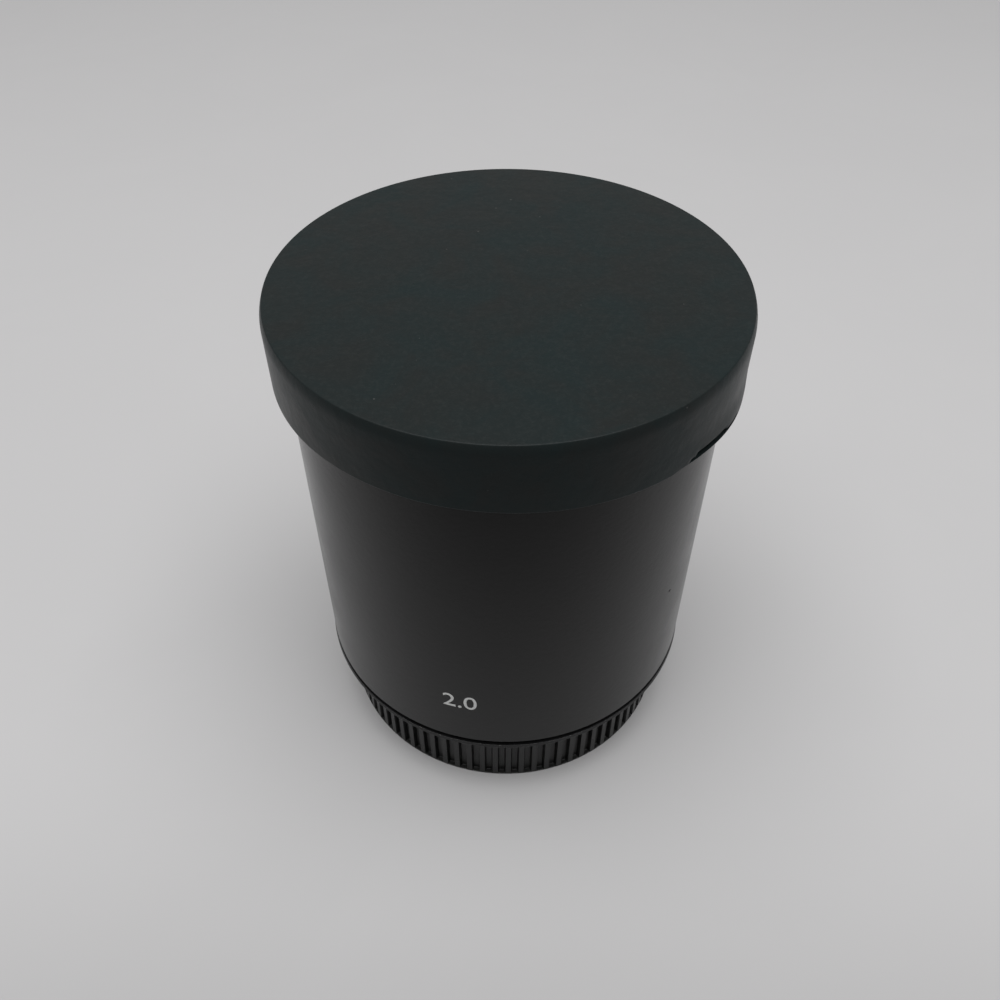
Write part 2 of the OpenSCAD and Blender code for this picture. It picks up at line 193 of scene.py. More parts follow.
class MountSettings(bpy.types.PropertyGroup):
    """Threaded rings at both ends, and their grub screws"""
    pitch: length("Pitch", "Pitch of the thread", 0.75)
    depth: length("Thread depth", "Depth of the thread", 0.46)
    male_r: length("Male radius", "Radius over the male thread", 21.0)
    female_r: length("Female radius", "Radius of the female thread's roots", 21.05)
    lead: length("Lead", "Lead-in chamfer of a thread", 0.4)
    male_len: length("Male thread", "Length of the male thread", 7.0)
    neck_depth: length("Neck depth", "Depth of the relief neck", 0.6)
    rear_flange: length("Rear flange", "Thickness of the rear ring's flange", 0.42)
    flange_lean: length("Flange lean", "How far the rear flange's side leans in at its top", 0.15)
    waist_h: length("Waist", "Height of the waist between the flange and the barrel", 0.88)
    waist: length("Waist inset", "How far the waist is set in from the barrel", 1.6)
    bore: length("Nose bore", "Radius of the rear ring's bore", 18.6)
    lip_step: length("Lip step", "How far the lip under the stop disc reaches in", 1.2)
    wire_groove: length("Wire groove", "Depth of the groove for the clip", 0.4)
    female_len: length("Female thread", "Length of the female thread", 6.5)
    stop_step: length("Stop step", "How far the lip behind the female thread reaches in", 0.85)
    flange: length("Flange", "Thickness of the front ring's flange", 1.2)
    edge: length("Edge round", "Rounding of machined edges", 0.1)
    grub_count: IntProperty(name="Grub screws", description="Number of grub screws", default=3, min=1)
    grub_d: length("Grub diameter", "Diameter of a grub screw", 2.0)
    grub_drop: length("Grub drop", "Height of the screws below the barrel's end", 3.6)
    grub_groove: length("Grub groove", "Depth of the groove that the screws bear in", 0.4)
    grub_recess: length("Grub recess", "How far a screw sits below the barrel's surface", 0.15)
    grub_slot: length("Grub slot", "Width of a driver slot", 0.4)
    grub_slot_depth: length("Grub slot depth", "Depth of a driver slot", 0.6)
    grub_turn: turn("Grub turn", "Turn of the first screw from +X about the axis", 90)
    black: colour("Anodised", "Colour of the anodised rings", (0.008, 0.008, 0.0083))
    bare: colour("Bare metal", "Colour of metal where the finish is worn off", (0.42, 0.42, 0.41))
    steel: colour("Steel", "Colour of the blackened screws", (0.10, 0.10, 0.105))


class CellSettings(bpy.types.PropertyGroup):
    """Lens cell, its shim and rings, and the glass"""
    wall: length("Cell wall", "Wall of the lens cell", 2.1)
    play: length("Play", "Radial play of the glass", 0.05)
    flange: length("Flange", "Thickness of the cell's flange", 2.5)
    lip: length("Lip", "Thickness of the cell's inner lip", 2.0)
    seat: length("Seat", "How far rings reach in over the glass", 1.5)
    lock_room: length("Lock room", "Room between the clamping ring and the tube", 0.9)
    slot: length("Slot", "Width of a spanner slot", 1.4)
    slot_depth: length("Slot depth", "Depth of a spanner slot", 0.9)
    edge: length("Edge round", "Rounding of machined edges", 0.12)
    front_r1: length("Front convex", "Radius of the front lens's convex face", 50)
    front_r2: length("Front hollow", "Radius of the front lens's hollow face", 26)
    concave_r: length("Hollow face", "Radius of the biconcave lens's front face", 60)
    cement_r: length("Cemented face", "Radius of the cemented faces", 32)
    convex_r: length("Convex face", "Radius of the biconvex lens's rear face", 55)
    rear_r: length("Rear faces", "Radius of both faces of the rear lens", 45)
    rim_flat: length("Rim flat", "Flat rim round a hollow face", 0.6)
    brass: colour("Brass", "Colour of the shim", (0.55, 0.37, 0.13))
    coating: colour("Glass", "Tint of the coated glass", (0.93, 0.96, 0.95))
    glass_dust: colour("Glass dust", "Colour of dust on the glass", (0.5, 0.5, 0.5))


class BaffleSettings(bpy.types.PropertyGroup):
    """Light trap, stop disc and its clip"""
    wall: length("Trap wall", "Wall of the light trap at its roots", 0.8)
    ridge: length("Ridge", "Height of a light-trap ridge", 1.0)
    pitch: length("Ridge pitch", "Pitch of the light-trap ridges", 1.6)
    stop_open: length("Stop opening", "Radius of the stop disc's opening", 13.5)
    wire: length("Wire", "Diameter of the clip's wire", 0.8)
    gap: turn("Clip gap", "Opening of the clip", 40)
    black: colour("Trap black", "Colour of the matt light trap", (0.005, 0.005, 0.005))
    steel: colour("Clip steel", "Colour of the sprung wire", (0.40, 0.40, 0.39))


class StageSettings(bpy.types.PropertyGroup):
    """Floor, light and camera"""
    floor: colour("Floor", "Colour of the floor", (0.60, 0.595, 0.60))
    floor_r: length("Floor radius", "Radius of the round floor", 4000)
    # The next three set painted shade: the floor's colour is darkened in front of the part, standing in for
    # the shade of the dark room on the camera's side
    floor_dark: factor("Front floor", "Share of the floor's colour that is left far in front", 0.55)
    floor_from: length("Front floor start", "Where the floor starts to darken, in front of the axis", 18)
    floor_to: length("Front floor end", "Where the floor is darkest, in front of the axis", 120)
    sky_low: colour("Low surround", "Colour of the surround at the horizon", (0.34, 0.339, 0.337))
    sky_high: colour("High surround", "Colour of the surround overhead", (0.44, 0.439, 0.437))
    front_light: factor("Front light", "Share of the surround's light left on the camera's side", 0.08)
    lamp: FloatProperty(name="Lamp", description="Power of the large soft lamp", default=5.9, unit="POWER")
    lamp_place: place("Lamp place", "Place of the large soft lamp", (0.0, -0.12, 0.80))
    lamp_size: length("Lamp size", "Width of the large soft lamp", 900)
    lamp_depth: factor("Lamp depth", "Depth of the lamp as a share of its width", 0.7)
    camera_place: place("Camera place", "Place of the camera", (0.0, -0.09192, 0.12576))
    camera_turn: FloatVectorProperty(name="Camera turn", description="Turn of the camera", subtype="EULER",
                                     default=[math.radians(a) for a in (44.647, -0.089, 0.640)])
    lens: FloatProperty(name="Lens", description="Focal length in mm", default=33.84, unit="CAMERA")
    sensor: FloatProperty(name="Sensor", description="Width of the sensor in mm", default=36, unit="CAMERA")


class TeleconverterSettings(bpy.types.PropertyGroup):
    """All sizes and colours"""
    front_cap: PointerProperty(type=FrontCapSettings)
    rear_cap: PointerProperty(type=RearCapSettings)
    barrel: PointerProperty(type=BarrelSettings)
    mount: PointerProperty(type=MountSettings)
    cell: PointerProperty(type=CellSettings)
    baffle: PointerProperty(type=BaffleSettings)
    stage: PointerProperty(type=StageSettings)


# Turned meshes

# A corner of a turned section: radius, height, rounding, and cuts along the side that follows it
Corner = namedtuple("Corner", "r z round cuts", defaults=(0.0, 0))
# Steps of a rounding, and how far past it a holding point stands, as a share of it
ARC_STEPS, HOLD = 6, 0.5
# Where the first point of a rounding lies on the half wave of its wear
WEAR_FADE = 0.15
# Lengths that count as none, and radii that count as on the axis
NO_LENGTH, ON_AXIS = 1e-9, 1e-7
# Edges that bend by more than this are shaded sharp
SHARP_ANGLE = math.radians(35)


def round_corner(before, corner, after):
    """Points that round one corner, with a holding point on each side, and the share of wear at each."""
    p = Vector((corner.r, corner.z))
    to_before = Vector((before.r, before.z)) - p
    to_after = Vector((after.r, after.z)) - p
    if corner.round <= 0 or min(to_before.length, to_after.length) < NO_LENGTH:
        return [p], [0.0]
    convex = 1.0 if to_after.cross(to_before) > 0 else -1.0
    half = to_before.angle(to_after) / 2
    to_before.normalize()
    to_after.normalize()
    reach = corner.round / math.tan(half)
    first, last = p + to_before * reach, p + to_after * reach
    centre = p + (to_before + to_after).normalized() * corner.round / math.sin(half)
    sweep = (first - centre).angle_signed(last - centre)
    hold = HOLD * min(reach, corner.round)
    points, wear = [first + to_before * hold], [0.0]
    for step in range(ARC_STEPS + 1):
        share = step / ARC_STEPS
        points.append(centre + Matrix.Rotation(-sweep * share, 2) @ (first - centre))
        wear.append(convex * math.sin(math.pi * (WEAR_FADE + (1 - 2 * WEAR_FADE) * share)))
    return points + [last + to_after * hold], wear + [0.0]


def section_points(outline):
    """Every point of a closed section, anticlockwise with the axis at the left, and its wear."""
    points, wear = [], []
    neighbours = zip(outline[-1:] + outline[:-1], outline, outline[1:] + outline[:1])
    groups = [round_corner(*three) for three in neighbours]
    for corner, (own, own_wear), (following, _) in zip(outline, groups, groups[1:] + groups[:1]):
        points += own
        wear += own_wear
        for cut in range(1, corner.cuts + 1):
            points.append(own[-1].lerp(following[0], cut / (corner.cuts + 1)))
            wear.append(0.0)
    return points, wear


def turned(name, outline, columns):
    """Closed mesh object made by turning a section about Z. Columns are a count, or a list of angles."""
    if isinstance(columns, int):
        columns = np.linspace(0, math.tau, columns, endpoint=False)
    angles = np.array(columns)
    count = len(angles)
    rows, vertices, edge = [], [], []
    for point, worn in zip(*section_points(outline)):
        if point.x < ON_AXIS:
            rows.append([len(vertices)] * count)
            vertices.append((0.0, 0.0, point.y))
            edge.append(worn)
            continue
        rows.append(list(range(len(vertices), len(vertices) + count)))
        vertices += zip(point.x * np.cos(angles), point.x * np.sin(angles), [point.y] * count)
        edge += [worn] * count
    faces = []
    for low, high in zip(rows, rows[1:] + rows[:1]):
        for i in range(count):
            j = (i + 1) % count
            corners = list(dict.fromkeys((low[i], low[j], high[j], high[i])))
            if len(corners) > 2:
                faces.append(corners)
    mesh = bpy.data.meshes.new(name)
    mesh.from_pydata(vertices, [], faces)
    mesh.attributes.new("edge", "FLOAT", "POINT").data.foreach_set("value", np.array(edge, np.float32))
    return new_object(name, mesh)


def new_object(name, data):
    """Object of that mesh, light or camera, at the origin."""
    piece = bpy.data.objects.new(name, data)
    bpy.context.scene.collection.objects.link(piece)
    return piece


def ring(r_in, r_out, low, high, edge):
    """Section of a plain ring."""
    return [Corner(r, z, edge) for r, z in ((r_in, low), (r_out, low), (r_out, high), (r_in, high))]


def positions(mesh):
    """The mesh's vertex places as rows of x, y and z."""
    flat = np.empty(len(mesh.vertices) * 3)
    mesh.vertices.foreach_get("co", flat)
    return flat.reshape(-1, 3)


def smooth_between(low, high, value):
    """0 below low, 1 above high, and an even curve between them."""
    share = np.clip((value - low) / (high - low), 0, 1)
    return share * share * (3 - 2 * share)


def dress(piece, node, *materials):
    """Gives a piece its finish and puts it in the place of a CAD node."""
    if not piece.data.polygons:
        raise RuntimeError(f"{piece.name} has no faces")
    for material in materials:
        piece.data.materials.append(material)
    piece.data.polygons.foreach_set("use_smooth", [True] * len(piece.data.polygons))
    piece.data.set_sharp_from_angle(angle=SHARP_ANGLE)
    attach(piece, BODY_OF[node])
    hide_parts(node)
    return piece


# Node trees

class Field:
    """Value of a node's output, which plain sums work on by adding Math nodes."""

    def __init__(self, socket):
        self.socket = socket
        self.tree = socket.id_data

    def __add__(self, other):
        return calc("ADD", self, other)

    def __sub__(self, other):
        return calc("SUBTRACT", self, other)

    def __rsub__(self, other):
        return calc("SUBTRACT", other, self)

    def __mul__(self, other):
        return calc("MULTIPLY", self, other)

    def __truediv__(self, other):
        return calc("DIVIDE", self, other)

    def __rtruediv__(self, other):
        return calc("DIVIDE", other, self)

    def __lt__(self, other):
        return calc("LESS_THAN", self, other)

    def __gt__(self, other):
        return calc("GREATER_THAN", self, other)

    def __abs__(self):
        return calc("ABSOLUTE", self)


def feed(socket, value):
    """Links a socket to a field, or sets its plain value."""
    if isinstance(value, Field):
        value.tree.links.new(value.socket, socket)
    else:
        socket.default_value = value


def add_node(tree, kind, inputs=None, **settings):
    """New node with its settings and inputs."""
    node = tree.nodes.new(kind)
    for key, value in settings.items():
        setattr(node, key, value)
    for key, value in (inputs or {}).items():
        feed(node.inputs[key], value)
    return node


def field(tree, kind, inputs=None, output=0, **settings):
    """One output of a new node."""
    return Field(add_node(tree, kind, inputs, **settings).outputs[output])


def fields(tree, kind, inputs=None, **settings):
    """Every output of a new node, by name."""
    return {socket.name: Field(socket) for socket in add_node(tree, kind, inputs, **settings).outputs}


def calc(operation, *values):
    """Output of a Math node."""
    tree = next(value.tree for value in values if isinstance(value, Field))
    return field(tree, "ShaderNodeMath", dict(enumerate(values)), operation=operation)


def vector_calc(operation, vector, other=None, output="Vector"):
    """Output of a Vector Math node. The other value is a second vector, or the scale."""
    inputs = {0: vector}
    if other is not None:
        inputs["Scale" if operation == "SCALE" else 1] = other
    return field(vector.tree, "ShaderNodeVectorMath", inputs, output, operation=operation)


def split(vector):
    """X, Y and Z of a vector."""
    return fields(vector.tree, "ShaderNodeSeparateXYZ", {0: vector}).values()


def join(tree, **axes):
    """Vector of X, Y and Z."""
    return field(tree, "ShaderNodeCombineXYZ", axes)


def ramp(value, low, high, to_low=0.0, to_high=1.0):
    """Output of a smooth Map Range node."""
    inputs = {"Value": value, "From Min": low, "From Max": high, "To Min": to_low, "To Max": to_high}
    return field(value.tree, "ShaderNodeMapRange", inputs, "Result", interpolation_type="SMOOTHSTEP")


def blend(share, below, above):
    """Output of a colour Mix node."""
    node = add_node(share.tree, "ShaderNodeMix", {0: share}, data_type="RGBA")
    for socket, value in ((node.inputs[6], below), (node.inputs[7], above)):
        feed(socket, value if isinstance(value, Field) else (*value, 1.0))
    return Field(node.outputs[2])


def new_group(kind, name, inputs, outputs):
    """New node group, its inputs by name, and the sockets of its outputs."""
    tree = bpy.data.node_groups.new(name, kind)
    for label, socket, default in inputs:
        item = tree.interface.new_socket(name=label, in_out="INPUT", socket_type=socket)
        if default is not None:
            item.default_value = default
    for label, socket in outputs:
        tree.interface.new_socket(name=label, in_out="OUTPUT", socket_type=socket)
    given = {socket.name: Field(socket) for socket in tree.nodes.new("NodeGroupInput").outputs}
    return tree, given, tree.nodes.new("NodeGroupOutput").inputs


FLOAT, SHAPE, WHOLE = "NodeSocketFloat", "NodeSocketGeometry", "NodeSocketInt"
OBJECT, MATERIAL = "NodeSocketObject", "NodeSocketMaterial"
# Slack within which a point counts as lying on a wall
WALL_SLACK = 0.02 * MM
# Shares of half a pitch between which a thread's flank rises
THREAD_FLANK = (0.09, 0.41)
# Points along the clip's wire and round it
WIRE_POINTS, WIRE_SIDES = 180, 20


def shape_group(name, **inputs):
    """New Geometry Nodes group with a shape and a material going in, and a shape coming out."""
    inputs = {"Geometry": SHAPE, **inputs, "Material": MATERIAL}
    rows = [(label, socket, None) for label, socket in inputs.items()]
    return new_group("GeometryNodeTree", name, rows, [("Geometry", SHAPE)])


def end_group(shape, given, result):
    """Realizes what a Geometry Nodes group made and gives it its material."""
    real = field(shape.tree, "GeometryNodeRealizeInstances", {"Geometry": shape})
    inputs = {"Geometry": real, "Material": given["Material"]}
    feed(result["Geometry"], field(shape.tree, "GeometryNodeSetMaterial", inputs))


def polar(tree):
    """Radius, turn as a share of a full turn, height, and the outward direction of each point."""
    x, y, z = split(field(tree, "GeometryNodeInputPosition"))
    flat = join(tree, X=x, Y=y)
    radius = vector_calc("LENGTH", flat, output="Value")
    return radius, calc("ARCTAN2", y, x) / math.tau, z, vector_calc("NORMALIZE", flat)


def press_in(given, outward, share):
    """Moves points inwards by a share of the depth, and keeps that share as the attribute groove."""
    inputs = {"Geometry": given["Geometry"], "Name": "groove", "Value": share}
    kept = field(share.tree, "GeometryNodeStoreNamedAttribute", inputs, data_type="FLOAT", domain="POINT")
    offset = vector_calc("SCALE", outward, given["Depth"] * share * -1.0)
    return field(share.tree, "GeometryNodeSetPosition", {"Geometry": kept, "Offset": offset})


def thread_tree():
    """Presses a right-hand thread into a wall between two heights."""
    tree, given, result = shape_group(
        "Screw thread", Pitch=FLOAT, Depth=FLOAT, Radius=FLOAT, Low=FLOAT, High=FLOAT, Runout=FLOAT)
    radius, angle, z, outward = polar(tree)
    wave = ramp(calc("PINGPONG", z / given["Pitch"] - angle, 0.5), *THREAD_FLANK)
    start = ramp(z, given["Low"], given["Low"] + given["Runout"])
    end = ramp(z, given["High"], given["High"] - given["Runout"])
    wall = abs(radius - given["Radius"]) < WALL_SLACK
    end_group(press_in(given, outward, wave * wall * start * end), given, result)
    return tree


def rib_tree():
    """Presses straight grooves into a wall, so that ribs stand between them."""
    tree, given, result = shape_group(
        "Grip ribs", Count=WHOLE, Turn=FLOAT, Depth=FLOAT, Share=FLOAT, Flank=FLOAT, Radius=FLOAT,
        Low=FLOAT, Runout=FLOAT)
    radius, angle, z, outward = polar(tree)
    away = calc("PINGPONG", (angle - given["Turn"] / math.tau) * given["Count"], 0.5)
    middle, half = given["Share"] / 2.0, given["Flank"] / 2.0
    groove = ramp(away, middle - half, middle + half)
    rise = ramp(z, given["Low"], given["Low"] + given["Runout"])
    wall = abs(radius - given["Radius"]) < WALL_SLACK
    end_group(press_in(given, outward, groove * wall * rise), given, result)
    return tree


def copies_round(tree, given):
    """Copies of an object, turned evenly about the axis."""
    angle = field(tree, "GeometryNodeInputIndex") * (math.tau / given["Count"]) + given["Start"]
    return field(tree, "GeometryNodeInstanceOnPoints", {
        "Points": field(tree, "GeometryNodePoints", {"Count": given["Count"]}),
        "Instance": field(tree, "GeometryNodeObjectInfo", {"Object": given["Copy"]}, "Geometry"),
        "Rotation": field(tree, "FunctionNodeEulerToRotation", {0: join(tree, Z=angle)})})


def copy_tree():
    """Sets copies of an object round the axis."""
    tree, given, result = shape_group("Copies round the axis", Copy=OBJECT, Count=WHOLE, Start=FLOAT)
    end_group(copies_round(tree, given), given, result)
    return tree


def cut_tree():
    """Cuts copies of an object out of a shape, round the axis."""
    tree, given, result = shape_group("Cuts round the axis", Copy=OBJECT, Count=WHOLE, Start=FLOAT)
    cutters = field(tree, "GeometryNodeRealizeInstances", {"Geometry": copies_round(tree, given)})
    inputs = {"Mesh 1": given["Geometry"], "Mesh 2": cutters}
    cut = field(tree, "GeometryNodeMeshBoolean", inputs, "Mesh", operation="DIFFERENCE", solver="EXACT")
    end_group(cut, given, result)
    return tree


def wire_tree():
    """Bends a round wire to an open ring."""
    tree, given, result = shape_group("Sprung wire", Wire=FLOAT, Radius=FLOAT, Gap=FLOAT, Height=FLOAT)
    arc = field(tree, "GeometryNodeCurveArc", {
        "Resolution": WIRE_POINTS, "Radius": given["Radius"], "Sweep Angle": math.tau - given["Gap"],
        "Start Angle": given["Gap"] / 2.0}, "Curve", mode="RADIUS")
    lift = join(tree, Z=given["Height"])
    raised = field(tree, "GeometryNodeSetPosition", {"Geometry": arc, "Offset": lift})
    inputs = {"Resolution": WIRE_SIDES, "Radius": given["Wire"] / 2.0}
    profile = field(tree, "GeometryNodeCurvePrimitiveCircle", inputs, "Curve", mode="RADIUS")
    inputs = {"Curve": raised, "Profile Curve": profile, "Fill Caps": True}
    end_group(field(tree, "GeometryNodeCurveToMesh", inputs), given, result)
    return tree


def made_once(make_group):
    """A node group, made on its first use."""
    group = bpy.data.node_groups.get(make_group.__name__) or make_group()
    group.name = make_group.__name__
    return group


def plain_mesh(piece):
    """New mesh of a piece as its modifiers leave it."""
    graph = bpy.context.evaluated_depsgraph_get()
    seen = piece.evaluated_get(graph)
    return bpy.data.meshes.new_from_object(seen, preserve_all_data_layers=True, depsgraph=graph)


def grow(piece, make_tree, material, **values):
    """Runs a Geometry Nodes tree on a piece and keeps the result as the piece's plain mesh."""
    tree = made_once(make_tree)
    modifier = piece.modifiers.new(tree.name, "NODES")
    modifier.node_group = tree
    values["Material"] = material
    for item in tree.interface.items_tree:
        if item.in_out == "INPUT" and item.name in values:
            modifier[item.identifier] = values[item.name]
    mesh = plain_mesh(piece)
    piece.modifiers.remove(modifier)
    if not mesh.polygons:
        raise RuntimeError(f"{tree.name} left nothing of {piece.name}")
    mesh.name = piece.name
    piece.data = mesh
    return piece


def cut_round(piece, cutter, material, count=1, start=0.0):
    """Cuts copies of a cutter out of a piece and removes the cutter."""
    grow(piece, cut_tree, material, Copy=cutter, Count=count, Start=start)
    bpy.data.objects.remove(cutter)
    return piece


def box_cutter(low, high):
    """Box between two corners, to cut with."""
    mesh = bpy.data.meshes.new("cutter")
    shape = bmesh.new()
    bmesh.ops.create_cube(shape, size=1.0)
    low, high = Vector(low), Vector(high)
    for vertex in shape.verts:
        vertex.co = Vector((low[i] + (high[i] - low[i]) * (vertex.co[i] + 0.5) for i in range(3)))
    shape.to_mesh(mesh)
    shape.free()
    return new_object("cutter", mesh)


# Shared surface effects, with lengths in millimetres

# The noise's middle value
NOISE_MIDDLE = 0.5
# Narrowest speck as a share of the widest, and the share of a speck that is solid
SMALL_SPECK, SPECK_CORE = 0.3, 0.5
# Noise values between which a blotch grows
BLOTCH_RANGE = (0.3, 0.7)
# Size of the dust film's lumps, noise values between which it grows, and how far up a face has to look
FILM_SIZE, FILM_RANGE, FILM_FACING = 0.5, (0.42, 0.75), (0.1, 0.95)
# Room round a fibre in lengths, where its side ends and is full in widths, and the least speck that holds it
FIBRE_ROOM, FIBRE_END, FIBRE_FULL, FIBRE_LEAST = 3.0, 1.6, 0.6, 0.05
# Lean from level and turn about the axis of each family of hairlines
HAIRLINE_TURNS = ((0.0, 0.5), (0.06, 2.1), (1.25, 0.9), (1.75, 2.6))
# Room between hairlines, room along one in lengths, its solid share, and where it fades out at its ends
HAIRLINE_ROOM, HAIRLINE_RUN, HAIRLINE_CORE, HAIRLINE_ENDS = 0.8, 2.0, 0.4, (0.25, 0.1)
# How strongly noise breaks up wear, the level where it starts, its soft edge, and the least edge that wears
WEAR_BREAK, WEAR_START, WEAR_SOFT, WEAR_LEAST = 1.6, 1.35, 0.3, 0.02


def effect(name, outputs, **inputs):
    """New shader group of floats, with the point's place in millimetres."""
    rows = [(label, FLOAT, value) for label, value in inputs.items()]
    tree, given, result = new_group("ShaderNodeTree", name, rows, [(label, FLOAT) for label in outputs])
    return tree, given, result, vector_calc("SCALE", object_place(tree), 1 / MM)


def object_place(tree):
    """Place of the shaded point on its object."""
    return field(tree, "ShaderNodeTexCoord", output="Object")


def noise(at, size, detail=2.0, roughness=0.5, distortion=0.0):
    """Noise whose lumps have about that size."""
    return field(at.tree, "ShaderNodeTexNoise", {
        "Vector": at, "Scale": 1.0 / size, "Detail": detail, "Roughness": roughness,
        "Distortion": distortion})


def specks(at, spacing, size, share):
    """Round specks, by the room between their places, their width, and the share of places that hold one."""
    cells = fields(at.tree, "ShaderNodeTexVoronoi", {"Vector": at, "Scale": 1.0 / spacing})
    chance = fields(at.tree, "ShaderNodeSeparateColor", {0: cells["Color"]})
    half = size / (spacing * 2.0) * (chance["Green"] * (1 - SMALL_SPECK) + SMALL_SPECK)
    return ramp(cells["Distance"], half, half * SPECK_CORE) * (chance["Red"] < share)


def grain_effect():
    """Fine moulding or paint grain."""
    tree, given, result, at = effect("Fine grain", ["Value"], Size=0.2, Roughness=0.6)
    feed(result["Value"], noise(at, given["Size"], detail=3.0, roughness=given["Roughness"]))
    return tree


def blotch_effect():
    """Broad uneven patches, as handling leaves."""
    tree, given, result, at = effect("Handling blotches", ["Mask"], Size=8.0)
    lumps = noise(at, given["Size"], detail=4.0, roughness=0.62, distortion=0.6)
    feed(result["Mask"], ramp(lumps, *BLOTCH_RANGE))
    return tree


def dust_effect():
    """Dust: separate specks, and a film that lies on what faces up."""
    tree, given, result, at = effect("Dust", ["Specks", "Film"], Spacing=1.6, Size=0.22, Share=0.3)
    feed(result["Specks"], specks(at, given["Spacing"], given["Size"], given["Share"]))
    _, _, facing = split(field(tree, "ShaderNodeNewGeometry", output="Normal"))
    film = ramp(noise(at, FILM_SIZE, detail=5.0, roughness=0.75), *FILM_RANGE)
    feed(result["Film"], ramp(facing, *FILM_FACING) * film)
    return tree


def lint_effect():
    """Short curled fibres."""
    tree, given, result, at = effect("Lint", ["Mask"], Length=2.2, Width=0.05, Share=0.1)
    away = abs(noise(at, given["Length"], detail=1.0, distortion=1.2) - NOISE_MIDDLE)
    thin = given["Width"] / given["Length"]
    patch = specks(at, given["Length"] * FIBRE_ROOM, given["Length"], given["Share"])
    feed(result["Mask"], ramp(away, thin * FIBRE_END, thin * FIBRE_FULL) * (patch > FIBRE_LEAST))
    return tree


def scratch_effect():
    """Straight hairline scratches in several directions."""
    tree, given, result, at = effect("Hairlines", ["Mask"], Length=9.0, Width=0.05, Share=0.4)
    room = join(tree, X=given["Length"] * HAIRLINE_RUN, Y=HAIRLINE_ROOM, Z=HAIRLINE_ROOM)
    half = given["Width"] / (2 * HAIRLINE_ROOM)
    lines = []
    for lean, roll in HAIRLINE_TURNS:
        inputs = {"Vector": at, "Rotation": (0.0, lean, roll), "Scale": room}
        laid = field(tree, "ShaderNodeMapping", inputs, vector_type="TEXTURE")
        cells = fields(tree, "ShaderNodeTexVoronoi", {"Vector": laid, "Scale": 1.0})
        along, across, deep = split(vector_calc("SUBTRACT", laid, cells["Position"]))
        beside = calc("SQRT", across * across + deep * deep)
        chance = fields(tree, "ShaderNodeSeparateColor", {0: cells["Color"]})["Red"]
        line = ramp(beside, half, half * HAIRLINE_CORE) * ramp(abs(along), *HAIRLINE_ENDS)
        lines.append(line * (chance < given["Share"]))
    mask = lines[0]
    for line in lines[1:]:
        mask = calc("MAXIMUM", mask, line)
    feed(result["Mask"], mask)
    return tree


def wear_effect():
    """Finish rubbed off along edges: the mask grows with the edge value and breaks up with noise."""
    tree, given, result, at = effect("Edge wear", ["Mask"], Edge=0.0, Size=0.5, Amount=0.5)
    uneven = noise(at, given["Size"], detail=4.0, roughness=0.7) - NOISE_MIDDLE
    level = given["Edge"] + uneven * WEAR_BREAK
    start = WEAR_START - given["Amount"]
    feed(result["Mask"], ramp(level, start, start + WEAR_SOFT) * (given["Edge"] > WEAR_LEAST))
    return tree


def turning_effect():
    """Fine rings that a lathe leaves round the axis."""
    tree, given, result, at = effect("Turning marks", ["Value"], Pitch=0.12)
    x, y, z = split(at)
    radius = vector_calc("LENGTH", join(tree, X=x, Y=y), output="Value")
    feed(result["Value"], noise(join(tree, X=radius, Y=z), given["Pitch"]))
    return tree


class Finish:
    """A material in the making, with plain values on its shader's own sockets."""

    def __init__(self, name, **sockets):
        self.material = bpy.data.materials.new(name)
        self.material.use_nodes = True
        self.tree = self.material.node_tree
        self.shader = self.tree.nodes["Principled BSDF"].inputs
        for key, value in sockets.items():
            self.shader[key.replace("_", " ")].default_value = value

    def use(self, make_effect, output=0, **inputs):
        """Output of a shared effect, with this material's own values."""
        return field(self.tree, "ShaderNodeGroup", inputs, output, node_tree=made_once(make_effect))

    def attribute(self, name):
        """Value of a mesh attribute."""
        return field(self.tree, "ShaderNodeAttribute", output="Fac", attribute_name=name)

    def colours(self, base, *layers):
        """Lays colours over a base colour, each with its mask and its strength."""
        for mask, strength, over in layers:
            base = blend(mask * strength, base, over)
        feed(self.shader["Base Color"], base)

    def rough(self, mask, between, low, high, *more):
        """Varies the roughness from low to high with a mask, and adds other masks by their strengths."""
        value = ramp(mask, *between, low, high)
        for other, strength in more:
            value = value + other * strength
        feed(self.shader["Roughness"], value)

    def relief(self, *heights):
        """Raises the surface by masks, each with its height in millimetres."""
        normal = None
        for height, depth in heights:
            inputs = {"Height": height, "Distance": depth * MM, "Strength": 1.0}
            if normal is not None:
                inputs["Normal"] = normal
            normal = field(self.tree, "ShaderNodeBump", inputs)
        feed(self.shader["Normal"], normal)


def shade(rgb, share):
    """A colour made lighter or darker."""
    return tuple(min(1.0, channel * share) for channel in rgb)


# Finishes

# All of a mask, and the part of a grain's values that it mostly takes
FULL_RANGE, GRAIN_RANGE = (0.0, 1.0), (0.2, 0.8)
# What the cool patches on the soft cap leave of its red, green and blue
COOL_PATCH = (0.74, 1.06, 1.12)


def soft_cap_finish(s):
    """Soft matt vinyl with dust, lint, hairlines and faint cool patches."""
    look = Finish("Soft cap vinyl", Specular_IOR_Level=0.12)
    patches = look.use(blotch_effect, Size=9.0)
    grain = look.use(grain_effect, Size=0.22)
    hairlines = look.use(scratch_effect, Length=11.0, Width=0.05, Share=0.42)
    dots = look.use(dust_effect, "Specks", Spacing=1.9, Size=0.3, Share=0.22)
    lint = look.use(lint_effect, Length=2.4, Width=0.05, Share=0.10)
    cool = [channel * share for channel, share in zip(s.black, COOL_PATCH)]
    look.colours(blend(patches, s.black, cool), (look.use(dust_effect, "Film"), 0.035, s.dust),
                 (hairlines, 0.05, s.dust), (dots, 0.25, s.dust), (lint, 0.4, s.dust))
    look.rough(patches, FULL_RANGE, 0.32, 0.37, (grain, 0.06))
    look.relief((look.use(grain_effect, Size=5.0), 0.12), (grain, 0.012))
    return look.material


